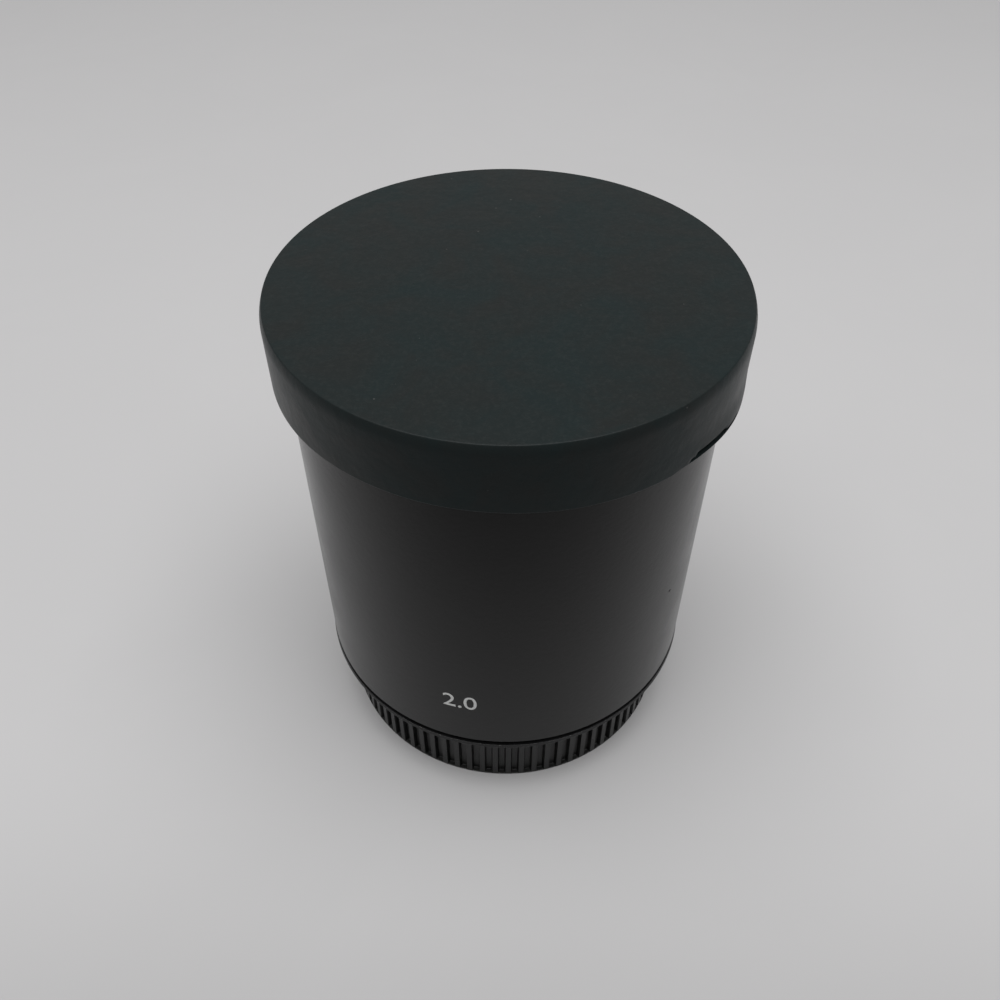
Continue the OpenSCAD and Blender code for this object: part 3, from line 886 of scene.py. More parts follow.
def ribbed_cap_finish(s, dust):
    """Moulded black plastic, dusty in the grooves and rubbed on the ribs."""
    look = Finish("Ribbed cap plastic", Specular_IOR_Level=0.28)
    patches = look.use(blotch_effect, Size=6.0)
    groove = look.attribute("groove")
    dots = look.use(dust_effect, "Specks", Spacing=1.4, Size=0.2, Share=0.22)
    rubbed = look.use(wear_effect, Edge=look.attribute("edge"), Size=0.6, Amount=0.55)
    deep = groove * look.use(grain_effect, Size=0.5)
    look.colours(blend(patches, s.black, shade(s.black, 1.5)), (deep, 0.05, dust),
                 (look.use(dust_effect, "Film"), 0.05, dust), (dots, 0.22, dust), (rubbed, 0.10, dust))
    look.rough(patches, FULL_RANGE, 0.27, 0.34, (groove, 0.04))
    look.relief((look.use(grain_effect, Size=0.16), 0.008))
    return look.material


def barrel_finish(s, dust):
    """Satin black paint with faint orange peel, hairlines, worn ends and one nick."""
    look = Finish("Satin barrel paint", Specular_IOR_Level=0.22)
    patches = look.use(blotch_effect, Size=10.0)
    peel = look.use(grain_effect, Size=0.7, Roughness=0.45)
    grain = look.use(grain_effect, Size=0.16)
    hairlines = look.use(scratch_effect, Length=8.0, Width=0.045, Share=0.34)
    dots = look.use(dust_effect, "Specks", Spacing=2.4, Size=0.22, Share=0.2)
    rubbed = look.use(wear_effect, Edge=look.attribute("edge"), Size=0.35, Amount=0.42)
    spot = (BARREL_R * math.sin(s.nick_turn), -BARREL_R * math.cos(s.nick_turn), s.nick_z)
    away = vector_calc("DISTANCE", object_place(look.tree), spot, "Value")
    nick = ramp(away + (grain - 0.5) * s.nick, s.nick * 0.5, s.nick * 0.3)
    look.colours(blend(patches, s.black, shade(s.black, 1.3)), (hairlines, 0.05, dust), (dots, 0.16, dust),
                 (rubbed, 0.2, s.worn), (nick, 1.0, shade(s.black, 0.25)))
    look.rough(patches, FULL_RANGE, 0.17, 0.21, (grain, 0.05), (nick, 0.4))
    look.relief((1.0 - nick, 0.15), (peel, 0.012), (grain, 0.004))
    return look.material


def anodised_finish(s):
    """Black anodised aluminium with turning marks, worn to metal on edges and thread crests."""
    look = Finish("Black anodising", Specular_IOR_Level=0.36)
    marks = look.use(turning_effect, Pitch=0.10)
    patches = look.use(blotch_effect, Size=5.0)
    worn = look.use(wear_effect, Edge=look.attribute("edge"), Size=0.4, Amount=0.34)
    look.colours(blend(patches, s.black, shade(s.black, 1.6)),
                 (ramp(marks, 0.45, 0.75), 0.25, shade(s.black, 2.6)), (worn, 0.8, s.bare))
    feed(look.shader["Metallic"], worn * 0.8)
    look.rough(marks, GRAIN_RANGE, 0.15, 0.24)
    look.relief((marks, 0.0015))
    return look.material


def matt_finish(name, black, lighter, grain_size, dust, dots, rough, depth, **sockets):
    """Flat black paint with a fine grain and specks of dust."""
    look = Finish(name, **sockets)
    grain = look.use(grain_effect, Size=grain_size)
    spacing, size, share, strength = dots
    mask = look.use(dust_effect, "Specks", Spacing=spacing, Size=size, Share=share)
    look.colours(blend(grain, black, shade(black, lighter)), (mask, strength, dust))
    look.rough(grain, GRAIN_RANGE, *rough)
    look.relief((grain, depth))
    return look.material


def trap_finish(s, dust):
    """Flat black paint that swallows stray light."""
    return matt_finish("Flat trap black", s.black, 1.8, 0.18, dust, dots=(1.2, 0.12, 0.2, 0.12),
                       rough=(0.75, 0.95), depth=0.03, Specular_IOR_Level=0.2)


def edge_black_finish(s, dust):
    """Matt black that lens makers paint on the glass's ground edge."""
    return matt_finish("Lens edge black", s.black, 2.5, 0.15, dust, dots=(1.0, 0.1, 0.15, 0.1),
                       rough=(0.6, 0.85), depth=0.01, Specular_IOR_Level=0.25)


def metal_finish(name, tint, rough, pitch):
    """Bare or blackened metal with fine drawn or turned marks."""
    look = Finish(name, Metallic=1.0)
    marks = look.use(turning_effect, Pitch=pitch)
    patches = look.use(blotch_effect, Size=2.5)
    hairlines = look.use(scratch_effect, Length=3.0, Width=0.03, Share=0.4)
    look.colours(blend(patches, tint, shade(tint, 0.6)), (hairlines, 0.5, shade(tint, 1.7)))
    look.rough(marks, GRAIN_RANGE, rough, rough + 0.15)
    look.relief((marks, 0.004))
    return look.material


def glass_finish(s):
    """Clear coated glass with a few specks of dust."""
    look = Finish("Coated glass", Transmission_Weight=1.0, IOR=1.55, Thin_Film_Thickness=330.0,
                  Thin_Film_IOR=1.38)
    dots = look.use(dust_effect, "Specks", Spacing=1.6, Size=0.12, Share=0.25)
    look.colours(s.coating, (dots, 0.5, s.glass_dust))
    feed(look.shader["Roughness"], dots * 0.4)
    return look.material


def print_finish(s):
    """White screen print, thin and a little worn."""
    look = Finish("White print", Specular_IOR_Level=0.4)
    grain = look.use(grain_effect, Size=0.3, Roughness=0.7)
    look.colours(blend(grain, s.print_white, shade(s.print_white, 0.85)),
                 (ramp(grain, 0.62, 0.75), 0.6, shade(s.print_white, 0.25)))
    look.rough(grain, GRAIN_RANGE, 0.45, 0.65)
    look.relief((grain, 0.004))
    return look.material


def floor_finish(s):
    """Pale sheet with painted shade that darkens it a little towards the camera."""
    look = Finish("Pale floor", Specular_IOR_Level=0.15)
    patches = look.use(blotch_effect, Size=60.0)
    _, back, _ = split(object_place(look.tree))
    # Painted shade: darkens the floor's colour in front of the part, where the room on the camera's side was
    # dark
    painted_front_shade = ramp(back * -1.0, s.floor_from, s.floor_to)
    look.colours(blend(patches, s.floor, shade(s.floor, 0.985)), (painted_front_shade, 1.0, shade(s.floor, s.floor_dark)))
    look.rough(patches, FULL_RANGE, 0.7, 0.8)
    return look.material


FINISHES = {}


def finish(make, *settings):
    """A finish, made once."""
    if make not in FINISHES:
        FINISHES[make] = make(*settings)
    return FINISHES[make]


def anodised():
    """Finish of the machined rings."""
    return finish(anodised_finish, bpy.context.scene.teleconverter.mount)


# Pieces

# Steps of the curve that draws the soft cap's skirt in to its rim
RIM_STEPS = 5
# The soft lip's waves: share of the wave setting, waves round the cap, and phase
LIP_WAVES = ((0.28, 3, 0.8), (0.22, 7, -1.9))
# Heights above the lip between which its waves die out
LIP_FADE = (0.6 * MM, 3.2 * MM)
# Turns between which the lip's sag sets in, and the turn over which it ends, in radians
SAG_START, SAG_END = (-0.2, 0.3), 0.05
# Height of the split's floor above the lip, as a share of the split's height
SPLIT_FLOOR = 0.2
# Wall left inside the split, depth of its outer edge, and height of its roof's edge
SPLIT_INSIDE, SPLIT_OUTSIDE, SPLIT_ROOF = 0.6 * MM, 0.4 * MM, 0.12 * MM
# Turn from the split's middle to the flare, the flare's width, and the turns between which it ends
FLARE_AFTER, FLARE_WIDTH = 0.24, 0.23
FLARE_END = (math.radians(70), math.radians(84))
# Height above the rear cap's foot of the first mesh row that the grooves move
GROOVE_START = 0.02 * MM


def front_cap_outline(s):
    """Section of the soft cap: plate, skirt with an inner bead at its lip, and a drawn-in rim."""
    under = CAP_TOP - s.plate
    inner, bead = BARREL_R + s.play, BARREL_R + s.lip_play
    shares = [step / RIM_STEPS for step in range(RIM_STEPS)]
    rim = [Corner(CAP_R - s.rim_inset * share ** 2, CAP_TOP - s.rim_drop * (1 - share)) for share in shares]
    return [
        Corner(0, under, cuts=3), Corner(inner, under, SOFT_ROUND, cuts=6),
        Corner(inner, SKIRT_Z + s.bead * 2, cuts=1), Corner(bead, SKIRT_Z + s.bead, SOFT_ROUND, cuts=1),
        Corner(bead, SKIRT_Z, s.lip_round, cuts=2), Corner(CAP_R, SKIRT_Z, s.lip_round, cuts=2),
        Corner(CAP_R, SKIRT_Z + s.split_h * 2, cuts=8), *rim,
        Corner(CAP_R - s.rim_inset, CAP_TOP, s.rim_round, cuts=10), Corner(0, CAP_TOP)]


def shape_lip(mesh, s):
    """Waves the soft lip and opens the split along one side of it."""
    spots = positions(mesh)
    x, y, z = spots.T
    radius = np.hypot(x, y)
    phi = np.arctan2(x, -y)
    height = z - SKIRT_Z
    lip = (1 - smooth_between(*LIP_FADE, height)) * (radius > BARREL_R)
    wave = sum(share * np.cos(count * phi + phase) for share, count, phase in LIP_WAVES)
    sag = smooth_between(*SAG_START, phi) * (1 - smooth_between(s.sag_turn, s.sag_turn + SAG_END, phi))
    opened = smooth_between(s.split_from, s.split_wide, phi)
    opened = np.sqrt(opened * (1 - smooth_between(s.split_wide, s.split_to, phi)))
    outside = smooth_between(BARREL_R + SPLIT_INSIDE, CAP_R - SPLIT_OUTSIDE, radius)
    ground = SPLIT_FLOOR * s.split_h
    roof = ground + s.split_h * opened
    mouth = (height > ground) * (1 - smooth_between(roof - SPLIT_ROOF, roof, height))
    flare = np.exp(-((phi - s.split_wide - FLARE_AFTER) / FLARE_WIDTH) ** 2) * lip * outside
    flare *= s.flare * (1 - smooth_between(*FLARE_END, phi))
    stretch = 1 + (flare - s.split_depth * mouth * opened * outside) / np.maximum(radius, MM)
    spots[:, 0] *= stretch
    spots[:, 1] *= stretch
    spots[:, 2] += (s.wave * wave - s.sag * sag - flare) * lip
    mesh.vertices.foreach_set("co", spots.ravel())


def rear_cap_outline(s):
    """Section of the ribbed cap: hollow base, foot, ribbed wall, plain band, and a threaded bore."""
    rib, band = RIM_R - s.band_proud, RIM_TOP - s.band_h
    base = rib - s.foot_inset
    pad = base - s.pad
    thread_low = RIM_TOP - s.mouth - s.thread_h
    return [
        Corner(0, BASE_Z + s.hollow), Corner(pad - s.hollow, BASE_Z + s.hollow, SMALL_ROUND),
        Corner(pad, BASE_Z, SMALL_ROUND), Corner(base, BASE_Z, s.foot_round), Corner(rib, s.foot_h),
        Corner(rib, s.foot_h + GROOVE_START, cuts=6), Corner(rib, s.foot_h + s.run_out, cuts=4),
        Corner(rib, band), Corner(RIM_R, band, STEP_ROUND), Corner(RIM_R, RIM_TOP, s.rim_round),
        Corner(s.bore + s.mouth, RIM_TOP, FINE_ROUND),
        Corner(s.bore, RIM_TOP - s.mouth, cuts=CAP_THREAD_ROWS), Corner(s.bore, thread_low, cuts=1),
        Corner(s.bore, s.base, BORE_ROUND, cuts=2), Corner(0, s.base)]


def rib_columns(s):
    """Angles of mesh columns that follow the ribs' sides."""
    low, high = (s.rib_share - s.rib_flank) / 2, (s.rib_share + s.rib_flank) / 2
    third = (high - low) / 3
    side = [low, low + third, high - third, high]
    marks = [0.0, *side, 0.5, *[1 - mark for mark in reversed(side)]]
    pitch = math.tau / s.rib_count
    return [s.rib_turn + (rib + mark) * pitch for rib in range(s.rib_count) for mark in marks]


def barrel_outline(s, c):
    """Section of the tube: outer wall, seat for the front ring's flange, and the web under the lens cell."""
    bore, seat = RING_R + s.play, FLANGE_R + s.play
    web, web_low = LENS_R + c.play + c.wall + c.play, SHIM_Z - s.web
    seat_z = BARREL_TOP - s.flange
    return [
        Corner(bore, BARREL_Z, SMALL_ROUND), Corner(BARREL_R, BARREL_Z, s.foot_edge, cuts=30),
        Corner(BARREL_R, BARREL_TOP, s.edge), Corner(seat, BARREL_TOP, SMALL_ROUND), Corner(seat, seat_z),
        Corner(bore, seat_z), Corner(bore, SHIM_Z), Corner(web, SHIM_Z, SMALL_ROUND),
        Corner(web, web_low, SMALL_ROUND), Corner(bore, web_low)]


def rear_ring_outline(s, wire):
    """Section of the rear ring: male thread, relief neck, flange, waist, insert and a stepped bore."""
    neck, flange_top = NOSE_Z + s.male_len, BARREL_Z - s.waist_h
    shoulder, waist = flange_top - s.rear_flange, BARREL_R - s.waist
    lip, groove = s.bore - s.lip_step, s.bore + s.wire_groove
    groove_top = STOP_TOP + wire + WIRE_PLAY
    return [
        Corner(lip, NOSE_Z, s.edge), Corner(s.male_r - s.lead, NOSE_Z, s.edge),
        Corner(s.male_r, NOSE_Z + s.lead, cuts=MALE_ROWS), Corner(s.male_r, neck),
        Corner(s.male_r - s.neck_depth, neck), Corner(s.male_r - s.neck_depth, shoulder),
        Corner(REAR_FLANGE_R, shoulder, s.edge / 2),
        Corner(REAR_FLANGE_R - s.flange_lean, flange_top, s.edge / 2),
        Corner(waist, flange_top), Corner(waist, BARREL_Z),
        Corner(RING_R, BARREL_Z), Corner(RING_R, INSERT_TOP, s.edge),
        Corner(s.bore, INSERT_TOP, s.edge), Corner(s.bore, groove_top), Corner(groove, groove_top),
        Corner(groove, STOP_TOP), Corner(s.bore, STOP_TOP), Corner(s.bore, STOP_Z),
        Corner(lip, STOP_Z, s.edge)]


def front_ring_outline(s):
    """Section of the front ring: flange, female thread with its stop lip, and the groove for the screws."""
    lip, groove = s.female_r - s.stop_step, RING_R - s.grub_groove
    thread_low, flange_low = BARREL_TOP - s.female_len, BARREL_TOP - s.flange
    grub_z, half = BARREL_TOP - s.grub_drop, s.grub_d / 2 + GRUB_PLAY
    return [
        Corner(lip, FRONT_RING_Z, s.edge), Corner(RING_R, FRONT_RING_Z, s.edge),
        Corner(RING_R, grub_z - half), Corner(groove, grub_z - half), Corner(groove, grub_z + half),
        Corner(RING_R, grub_z + half), Corner(RING_R, flange_low), Corner(FLANGE_R, flange_low, s.edge),
        Corner(FLANGE_R, BARREL_TOP, s.edge), Corner(s.female_r + s.lead, BARREL_TOP, s.edge),
        Corner(s.female_r, BARREL_TOP - s.lead, cuts=FEMALE_ROWS), Corner(s.female_r, thread_low),
        Corner(lip, thread_low, s.edge)]


def trap_outline(s):
    """Section of the light trap: a thin sleeve with saw-shaped ridges inside."""
    root = RING_R - s.wall
    outline = [
        Corner(RING_R, TRAP_Z, SMALL_ROUND), Corner(RING_R, TRAP_TOP, SMALL_ROUND), Corner(root, TRAP_TOP)]
    for index in reversed(range(int((TRAP_TOP - TRAP_Z) / s.pitch))):
        low = TRAP_Z + index * s.pitch
        outline += [Corner(root, low + s.pitch / 2), Corner(root - s.ridge, low, SHEET_ROUND)]
        if index:
            outline.append(Corner(root, low))
    return outline


def cell_outline(s):
    """Section of the lens cell: tube, flange, and the inner lip between the two glass seats."""
    bore, lip = LENS_R + s.play, LENS_R - s.seat
    outer = bore + s.wall
    _, _, lip_low = span("rear_spacer")
    lip_top, flange_top = lip_low + s.lip, FLANGE_Z + s.flange
    return [
        Corner(bore, CELL_Z, s.edge), Corner(outer, CELL_Z, s.edge), Corner(outer, FLANGE_Z),
        Corner(RING_R, FLANGE_Z, s.edge), Corner(RING_R, flange_top, s.edge), Corner(outer, flange_top),
        Corner(outer, CELL_TOP, s.edge), Corner(bore, CELL_TOP, s.edge), Corner(bore, lip_top),
        Corner(lip, lip_top, s.edge), Corner(lip, lip_low, s.edge), Corner(bore, lip_low)]


# Steps of a glass face from its middle to its rim, and how level a normal is on the ground edge
GLASS_STEPS, EDGE_LEVEL = 14, 0.9


def sag_of(face_r, reach):
    """Height of a spherical face between its middle and a radius."""
    return face_r - math.sqrt(face_r ** 2 - reach ** 2)


def glass_face(face_r, reach, rim_z, rise):
    """Points of a glass face from its middle to its rim; rise is 1 where the middle is higher."""
    radii = [reach * step / GLASS_STEPS for step in range(GLASS_STEPS + 1)]
    return [Corner(r, rim_z + rise * (sag_of(face_r, reach) - sag_of(face_r, r))) for r in radii]


def glass_outlines(s):
    """Sections of the four lenses, by node."""
    def bulging(face_r, top, rise):
        """Face that bulges out to a height at its middle."""
        return glass_face(face_r, LENS_R, top - rise * sag_of(face_r, LENS_R), rise)

    hollow = LENS_R - s.rim_flat
    _, low, high = span("front_element")
    front = glass_face(s.front_r2, hollow, low, 1) + [Corner(LENS_R, low)]
    front += reversed(bulging(s.front_r1, high, 1))
    _, low, high = span("doublet_front_element")
    concave = glass_face(s.cement_r, hollow, low, 1) + [Corner(LENS_R, low), Corner(LENS_R, high)]
    concave += reversed(glass_face(s.concave_r, hollow, high, -1))
    _, low, high = span("doublet_rear_element")
    convex = bulging(s.convex_r, low, -1) + bulging(s.cement_r, high, 1)[::-1]
    _, low, high = span("rear_element")
    rear = bulging(s.rear_r, low, -1) + bulging(s.rear_r, high, 1)[::-1]
    return {"front_element": front, "doublet_front_element": concave, "doublet_rear_element": convex,
            "rear_element": rear}


def blacken_edge(piece, material):
    """Gives the ground edge of a lens its own finish."""
    piece.data.materials.append(material)
    black = len(piece.data.materials) - 1
    for face in piece.data.polygons:
        if math.hypot(face.normal.x, face.normal.y) > EDGE_LEVEL:
            face.material_index = black


def slotted_ring(name, node, r_in, s, at_top):
    """Ring with a spanner slot cut across its upper or lower face."""
    r_out, low, high = span(node)
    piece = turned(name, ring(r_in, r_out, low, high, s.edge), RING_COLUMNS)
    reach = r_out + CUT_PAST
    z_low, z_high = (high - s.slot_depth, high + CUT_PAST) if at_top else (low - CUT_PAST, low + s.slot_depth)
    cutter = box_cutter((-reach, -s.slot / 2, z_low), (reach, s.slot / 2, z_high))
    dress(cut_round(piece, cutter, anodised()), node)


def grub_blank(name, radius, inner, outer, edge, s):
    """Round bar that points out along +X at the height of the grub screws."""
    outline = [Corner(0, inner), Corner(radius, inner, edge), Corner(radius, outer, edge), Corner(0, outer)]
    bar = turned(name, outline, SCREW_COLUMNS)
    x, y, z = positions(bar.data).T
    laid = np.column_stack((z, y, BARREL_TOP - s.grub_drop - x))
    bar.data.vertices.foreach_set("co", laid.ravel())
    return bar


# Strips that the flat number is cut into, and the gap that its points are joined over, in letter heights
NUMBER_STRIPS, NUMBER_GAP = 40, 1e-5
# Thickness of the flat number, which only tells its front from its back
NUMBER_THICK = 0.5


def flat_number(text):
    """Flat, upright number with some thickness, as a bmesh."""
    letters = bpy.data.curves.new("printed_number", "FONT")
    letters.body = text
    letters.align_x = "CENTER"
    letters.extrude = NUMBER_THICK
    flat = new_object("flat_number", letters)
    mesh = plain_mesh(flat)
    bpy.data.objects.remove(flat)
    shape = bmesh.new()
    shape.from_mesh(mesh)
    bmesh.ops.remove_doubles(shape, verts=shape.verts, dist=NUMBER_GAP)
    return shape


def printed_number(s):
    """Number, cut into narrow strips and wrapped on the tube."""
    shape = flat_number(s.number)
    size = s.number_h / max(v.co.y for v in shape.verts)
    wide = max(abs(v.co.x) for v in shape.verts)
    for strip in range(1, NUMBER_STRIPS):
        x = wide * (2 * strip / NUMBER_STRIPS - 1)
        parts = shape.verts[:] + shape.edges[:] + shape.faces[:]
        bmesh.ops.bisect_plane(shape, geom=parts, plane_co=(x, 0, 0), plane_no=(1, 0, 0))
    for vertex in shape.verts:
        angle = s.number_turn + vertex.co.x * size / BARREL_R
        radius = BARREL_R + (s.print_t if vertex.co.z > 0 else -s.print_t)
        height = s.number_z + vertex.co.y * size
        vertex.co = (radius * math.sin(angle), -radius * math.cos(angle), height)
    bmesh.ops.triangulate(shape, faces=shape.faces[:])
    bmesh.ops.recalc_face_normals(shape, faces=shape.faces)
    mesh = bpy.data.meshes.new("printed_number")
    shape.to_mesh(mesh)
    shape.free()
    piece = new_object("printed_number", mesh)
    piece.data.materials.append(finish(print_finish, s))
    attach(piece, BODY_OF["outer_barrel"])


# Stage

FLOOR_SIDES = 96
NEAR_CLIP = 10 * MM
# How high a direction points where the surround is brightest
SKY_TOP = 0.9
# Middle of the side that gives less light, and the cosines to it between which the light fades
DIM_SIDE = Vector((0.0, -0.95, 0.30)).normalized()
DIM_FADE = (0.2, 0.85)


def make_floor(stage):
    """Large pale floor at the foot of the part."""
    mesh = bpy.data.meshes.new("floor")
    shape = bmesh.new()
    bmesh.ops.create_circle(shape, cap_ends=True, segments=FLOOR_SIDES, radius=stage.floor_r)
    shape.to_mesh(mesh)
    shape.free()
    floor = new_object("floor", mesh)
    floor.data.materials.append(finish(floor_finish, stage))


def make_surround(stage):
    """Pale world, a little brighter overhead, that lights matt surfaces less from the camera's side."""
    world = bpy.data.worlds.new("surround")
    world.use_nodes = True
    tree = world.node_tree
    toward = field(tree, "ShaderNodeTexCoord", output="Generated")
    _, _, height = split(toward)
    pale = blend(ramp(height, 0.0, SKY_TOP), stage.sky_low, stage.sky_high)
    near = vector_calc("DOT_PRODUCT", toward, DIM_SIDE, "Value")
    dim = blend(ramp(near, *DIM_FADE), pale, shade(stage.sky_low, stage.front_light))
    path = fields(tree, "ShaderNodeLightPath")
    shown = calc("MAXIMUM", path["Is Glossy Ray"], path["Is Transmission Ray"])
    shown = calc("MAXIMUM", shown, path["Is Camera Ray"])
    feed(tree.nodes["Background"].inputs["Color"], blend(shown, dim, pale))
    bpy.context.scene.world = world


def make_lamp(stage):
    """Large soft lamp overhead, aimed at the middle of the part."""
    lamp = bpy.data.lights.new("soft_lamp", "AREA")
    lamp.shape = "RECTANGLE"
    lamp.size, lamp.size_y = stage.lamp_size, stage.lamp_size * stage.lamp_depth
    lamp.energy = stage.lamp
    holder = new_object("soft_lamp", lamp)
    holder.location = stage.lamp_place
    aim = Vector((0, 0, BARREL_TOP / 2)) - holder.location
    holder.rotation_euler = aim.to_track_quat("-Z", "Y").to_euler()


def make_camera(stage):
    """Camera where the photograph was taken from."""
    lens = bpy.data.cameras.new("photo_camera")
    lens.lens, lens.sensor_width = stage.lens, stage.sensor
    lens.clip_start = NEAR_CLIP
    camera = new_object("photo_camera", lens)
    camera.location, camera.rotation_euler = stage.camera_place, stage.camera_turn
    bpy.context.scene.camera = camera


# Operators

class BuildOperator:
    """What every building operator shares."""
    bl_options = {"REGISTER", "UNDO"}

    def execute(self, context):
        """Builds the pieces and reports that it finished."""
        self.build(context.scene.teleconverter)
        return {"FINISHED"}


class TELECONVERTER_OT_front_cap(BuildOperator, bpy.types.Operator):
    """Build the soft push-on cap"""
    bl_idname = "teleconverter.front_cap"
    bl_label = "Front cap"

    def build(self, s):
        piece = turned("soft_push_cap", front_cap_outline(s.front_cap), CAP_COLUMNS)
        shape_lip(piece.data, s.front_cap)
        dress(piece, "front_cap", finish(soft_cap_finish, s.front_cap))


class TELECONVERTER_OT_rear_cap(BuildOperator, bpy.types.Operator):
    """Build the ribbed screw-on cap"""
    bl_idname = "teleconverter.rear_cap"
    bl_label = "Rear cap"

    def build(self, s):
        cap = s.rear_cap
        material = finish(ribbed_cap_finish, cap, s.front_cap.dust)
        piece = turned("ribbed_screw_cap", rear_cap_outline(cap), rib_columns(cap))
        grow(piece, thread_tree, material, Pitch=s.mount.pitch, Depth=cap.thread_depth, Radius=cap.bore,
             Low=RIM_TOP - cap.mouth - cap.thread_h, High=RIM_TOP - cap.mouth, Runout=s.mount.lead)
        grow(piece, rib_tree, material, Count=cap.rib_count, Turn=cap.rib_turn, Depth=cap.rib_depth,
             Share=cap.rib_share, Flank=cap.rib_flank, Radius=RIM_R - cap.band_proud, Low=cap.foot_h,
             Runout=cap.run_out)
        dress(piece, "rear_cap")


class TELECONVERTER_OT_barrel(BuildOperator, bpy.types.Operator):
    """Build the painted tube and its printed number"""
    bl_idname = "teleconverter.barrel"
    bl_label = "Barrel"

    def build(self, s):
        m = s.mount
        material = finish(barrel_finish, s.barrel, s.front_cap.dust)
        piece = turned("painted_tube", barrel_outline(s.barrel, s.cell), TUBE_COLUMNS)
        radius = m.grub_d / 2 + s.barrel.play
        hole = grub_blank("cutter", radius, RING_R - CUT_PAST, BARREL_R + CUT_PAST, 0.0, m)
        dress(cut_round(piece, hole, material, m.grub_count, m.grub_turn), "outer_barrel")
        printed_number(s.barrel)


class TELECONVERTER_OT_mount_rings(BuildOperator, bpy.types.Operator):
    """Build the male and the female threaded ring"""
    bl_idname = "teleconverter.mount_rings"
    bl_label = "Mount rings"

    def build(self, s):
        m = s.mount
        rear = turned("male_thread_ring", rear_ring_outline(m, s.baffle.wire), THREAD_COLUMNS)
        grow(rear, thread_tree, anodised(), Pitch=m.pitch, Depth=m.depth, Radius=m.male_r, Low=NOSE_Z,
             High=NOSE_Z + m.male_len, Runout=m.lead)
        dress(rear, "rear_mount_ring")
        front = turned("female_thread_ring", front_ring_outline(m), THREAD_COLUMNS)
        grow(front, thread_tree, anodised(), Pitch=m.pitch, Depth=m.depth, Radius=m.female_r,
             Low=BARREL_TOP - m.female_len, High=BARREL_TOP, Runout=m.lead)
        dress(front, "front_mount_ring")


class TELECONVERTER_OT_grub_screws(BuildOperator, bpy.types.Operator):
    """Build the grub screws that lock the front ring"""
    bl_idname = "teleconverter.grub_screws"
    bl_label = "Grub screws"

    def build(self, s):
        m = s.mount
        inner, outer = RING_R - m.grub_groove + GRUB_PLAY, BARREL_R - m.grub_recess
        material = metal_finish("Blackened screw steel", m.steel, rough=0.3, pitch=0.08)
        one = grub_blank("one_screw", m.grub_d / 2, inner, outer, SCREW_ROUND, m)
        side = m.grub_slot / 2
        slot = box_cutter((outer - m.grub_slot_depth, -side, 0), (outer + CUT_PAST, side, BARREL_TOP))
        cut_round(one, slot, material)
        piece = new_object("grub_screws", bpy.data.meshes.new("grub_screws"))
        grow(piece, copy_tree, material, Copy=one, Count=m.grub_count, Start=m.grub_turn)
        bpy.data.objects.remove(one)
        dress(piece, "front_ring_screws")


class TELECONVERTER_OT_baffles(BuildOperator, bpy.types.Operator):
    """Build the light trap, the stop disc and its clip"""
    bl_idname = "teleconverter.baffles"
    bl_label = "Baffles"

    def build(self, s):
        b = s.baffle
        black = finish(trap_finish, b, s.front_cap.dust)
        dress(turned("light_trap", trap_outline(b), RING_COLUMNS), "front_baffle", black)
        disc = ring(b.stop_open, STOP_R, STOP_Z, STOP_TOP, FINE_ROUND)
        dress(turned("stop_disc", disc, RING_COLUMNS), "rear_baffle", black)
        steel = metal_finish("Clip steel", b.steel, rough=0.22, pitch=0.05)
        clip = new_object("wire_clip", bpy.data.meshes.new("wire_clip"))
        grow(clip, wire_tree, steel, Wire=b.wire, Radius=STOP_R, Gap=b.gap, Height=STOP_TOP + b.wire / 2)
        dress(clip, "baffle_clip")


class TELECONVERTER_OT_lens_cell(BuildOperator, bpy.types.Operator):
    """Build the lens cell, its shim and its clamping ring"""
    bl_idname = "teleconverter.lens_cell"
    bl_label = "Lens cell"

    def build(self, s):
        c = s.cell
        dress(turned("glass_cell", cell_outline(c), RING_COLUMNS), "lens_cell", anodised())
        outer = LENS_R + c.play + c.wall
        r_out, low, high = span("cell_shim")
        shim = turned("brass_shim", ring(outer + c.play, r_out, low, high, SHEET_ROUND), RING_COLUMNS)
        dress(shim, "cell_shim", metal_finish("Shim brass", c.brass, rough=0.25, pitch=0.15))
        slotted_ring("clamp_ring", "cell_lock_ring", outer + c.lock_room, c, True)


class TELECONVERTER_OT_glass_rings(BuildOperator, bpy.types.Operator):
    """Build the retaining rings and the spacers between the lenses"""
    bl_idname = "teleconverter.glass_rings"
    bl_label = "Glass rings"

    def build(self, s):
        c = s.cell
        inner = LENS_R - c.seat
        slotted_ring("front_glass_ring", "front_retaining_ring", inner, c, True)
        slotted_ring("back_glass_ring", "rear_retaining_ring", inner, c, False)
        for name, node in (("front_glass_spacer", "front_spacer"), ("back_glass_spacer", "rear_spacer")):
            r_out, low, high = span(node)
            dress(turned(name, ring(inner, r_out, low, high, c.edge), RING_COLUMNS), node, anodised())


class TELECONVERTER_OT_glass(BuildOperator, bpy.types.Operator):
    """Build the four lenses"""
    bl_idname = "teleconverter.glass"
    bl_label = "Glass"

    def build(self, s):
        names = {"front_element": "meniscus_lens", "doublet_front_element": "biconcave_lens",
                 "doublet_rear_element": "biconvex_lens", "rear_element": "back_lens"}
        for node, outline in glass_outlines(s.cell).items():
            piece = dress(turned(names[node], outline, GLASS_COLUMNS), node, finish(glass_finish, s.cell))
            blacken_edge(piece, finish(edge_black_finish, s.baffle, s.front_cap.dust))


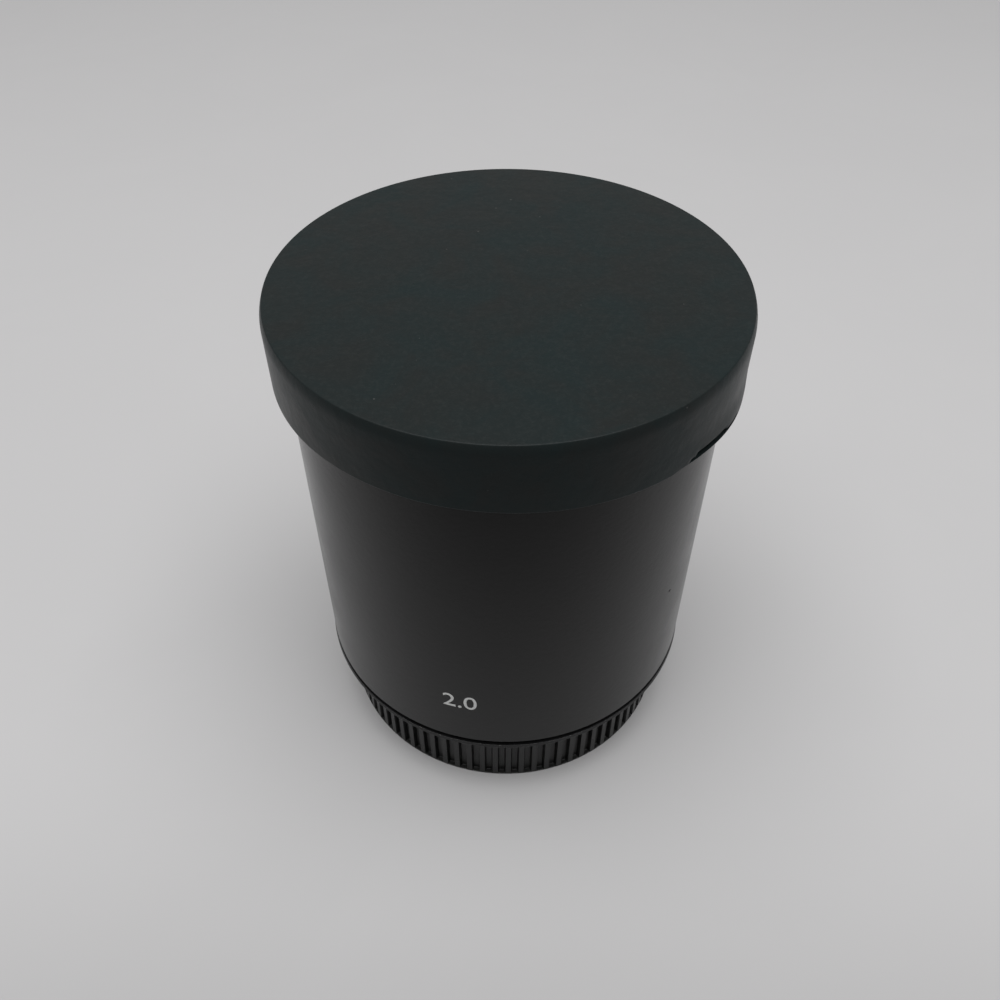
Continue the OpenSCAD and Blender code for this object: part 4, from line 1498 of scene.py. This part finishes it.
class TELECONVERTER_OT_stage(BuildOperator, bpy.types.Operator):
    """Build the floor, the light and the camera"""
    bl_idname = "teleconverter.stage"
    bl_label = "Stage"

    def build(self, s):
        for make in (make_floor, make_surround, make_lamp, make_camera):
            make(s.stage)
        bpy.context.scene.view_settings.view_transform = "Standard"


class TELECONVERTER_PT_build(bpy.types.Panel):
    """Lists the building steps and their sizes"""
    bl_label = "Teleconverter"
    bl_space_type = "VIEW_3D"
    bl_region_type = "UI"
    bl_category = "Teleconverter"

    def draw(self, context):
        """Draws one button for each step, then every size and colour."""
        for step in OPERATORS:
            self.layout.operator(step.bl_idname)
        everything = context.scene.teleconverter
        for group in everything.bl_rna.properties:
            if group.type == "POINTER" and group.identifier != "rna_type":
                values = getattr(everything, group.identifier)
                box = self.layout.box()
                for value in values.bl_rna.properties:
                    if value.identifier not in {"rna_type", "name"}:
                        box.prop(values, value.identifier)


SETTINGS = (FrontCapSettings, RearCapSettings, BarrelSettings, MountSettings, CellSettings, BaffleSettings,
            StageSettings, TeleconverterSettings)
OPERATORS = (
    TELECONVERTER_OT_front_cap, TELECONVERTER_OT_rear_cap, TELECONVERTER_OT_barrel,
    TELECONVERTER_OT_mount_rings, TELECONVERTER_OT_grub_screws, TELECONVERTER_OT_baffles,
    TELECONVERTER_OT_lens_cell, TELECONVERTER_OT_glass_rings, TELECONVERTER_OT_glass, TELECONVERTER_OT_stage)
CLASSES = (*SETTINGS, *OPERATORS, TELECONVERTER_PT_build)


def register():
    """Adds the classes and the scene's settings."""
    for cls in CLASSES:
        bpy.utils.register_class(cls)
    bpy.types.Scene.teleconverter = PointerProperty(type=TeleconverterSettings)


def unregister():
    """Removes what register added."""
    del bpy.types.Scene.teleconverter
    for cls in reversed(CLASSES):
        bpy.utils.unregister_class(cls)


def main():
    """Builds every piece and the stage."""
    register()
    bpy.ops.teleconverter.front_cap()
    bpy.ops.teleconverter.rear_cap()
    bpy.ops.teleconverter.barrel()
    bpy.ops.teleconverter.mount_rings()
    bpy.ops.teleconverter.grub_screws()
    bpy.ops.teleconverter.baffles()
    bpy.ops.teleconverter.lens_cell()
    bpy.ops.teleconverter.glass_rings()
    bpy.ops.teleconverter.glass()
    bpy.ops.teleconverter.stage()


if __name__ == "__main__":
    main()
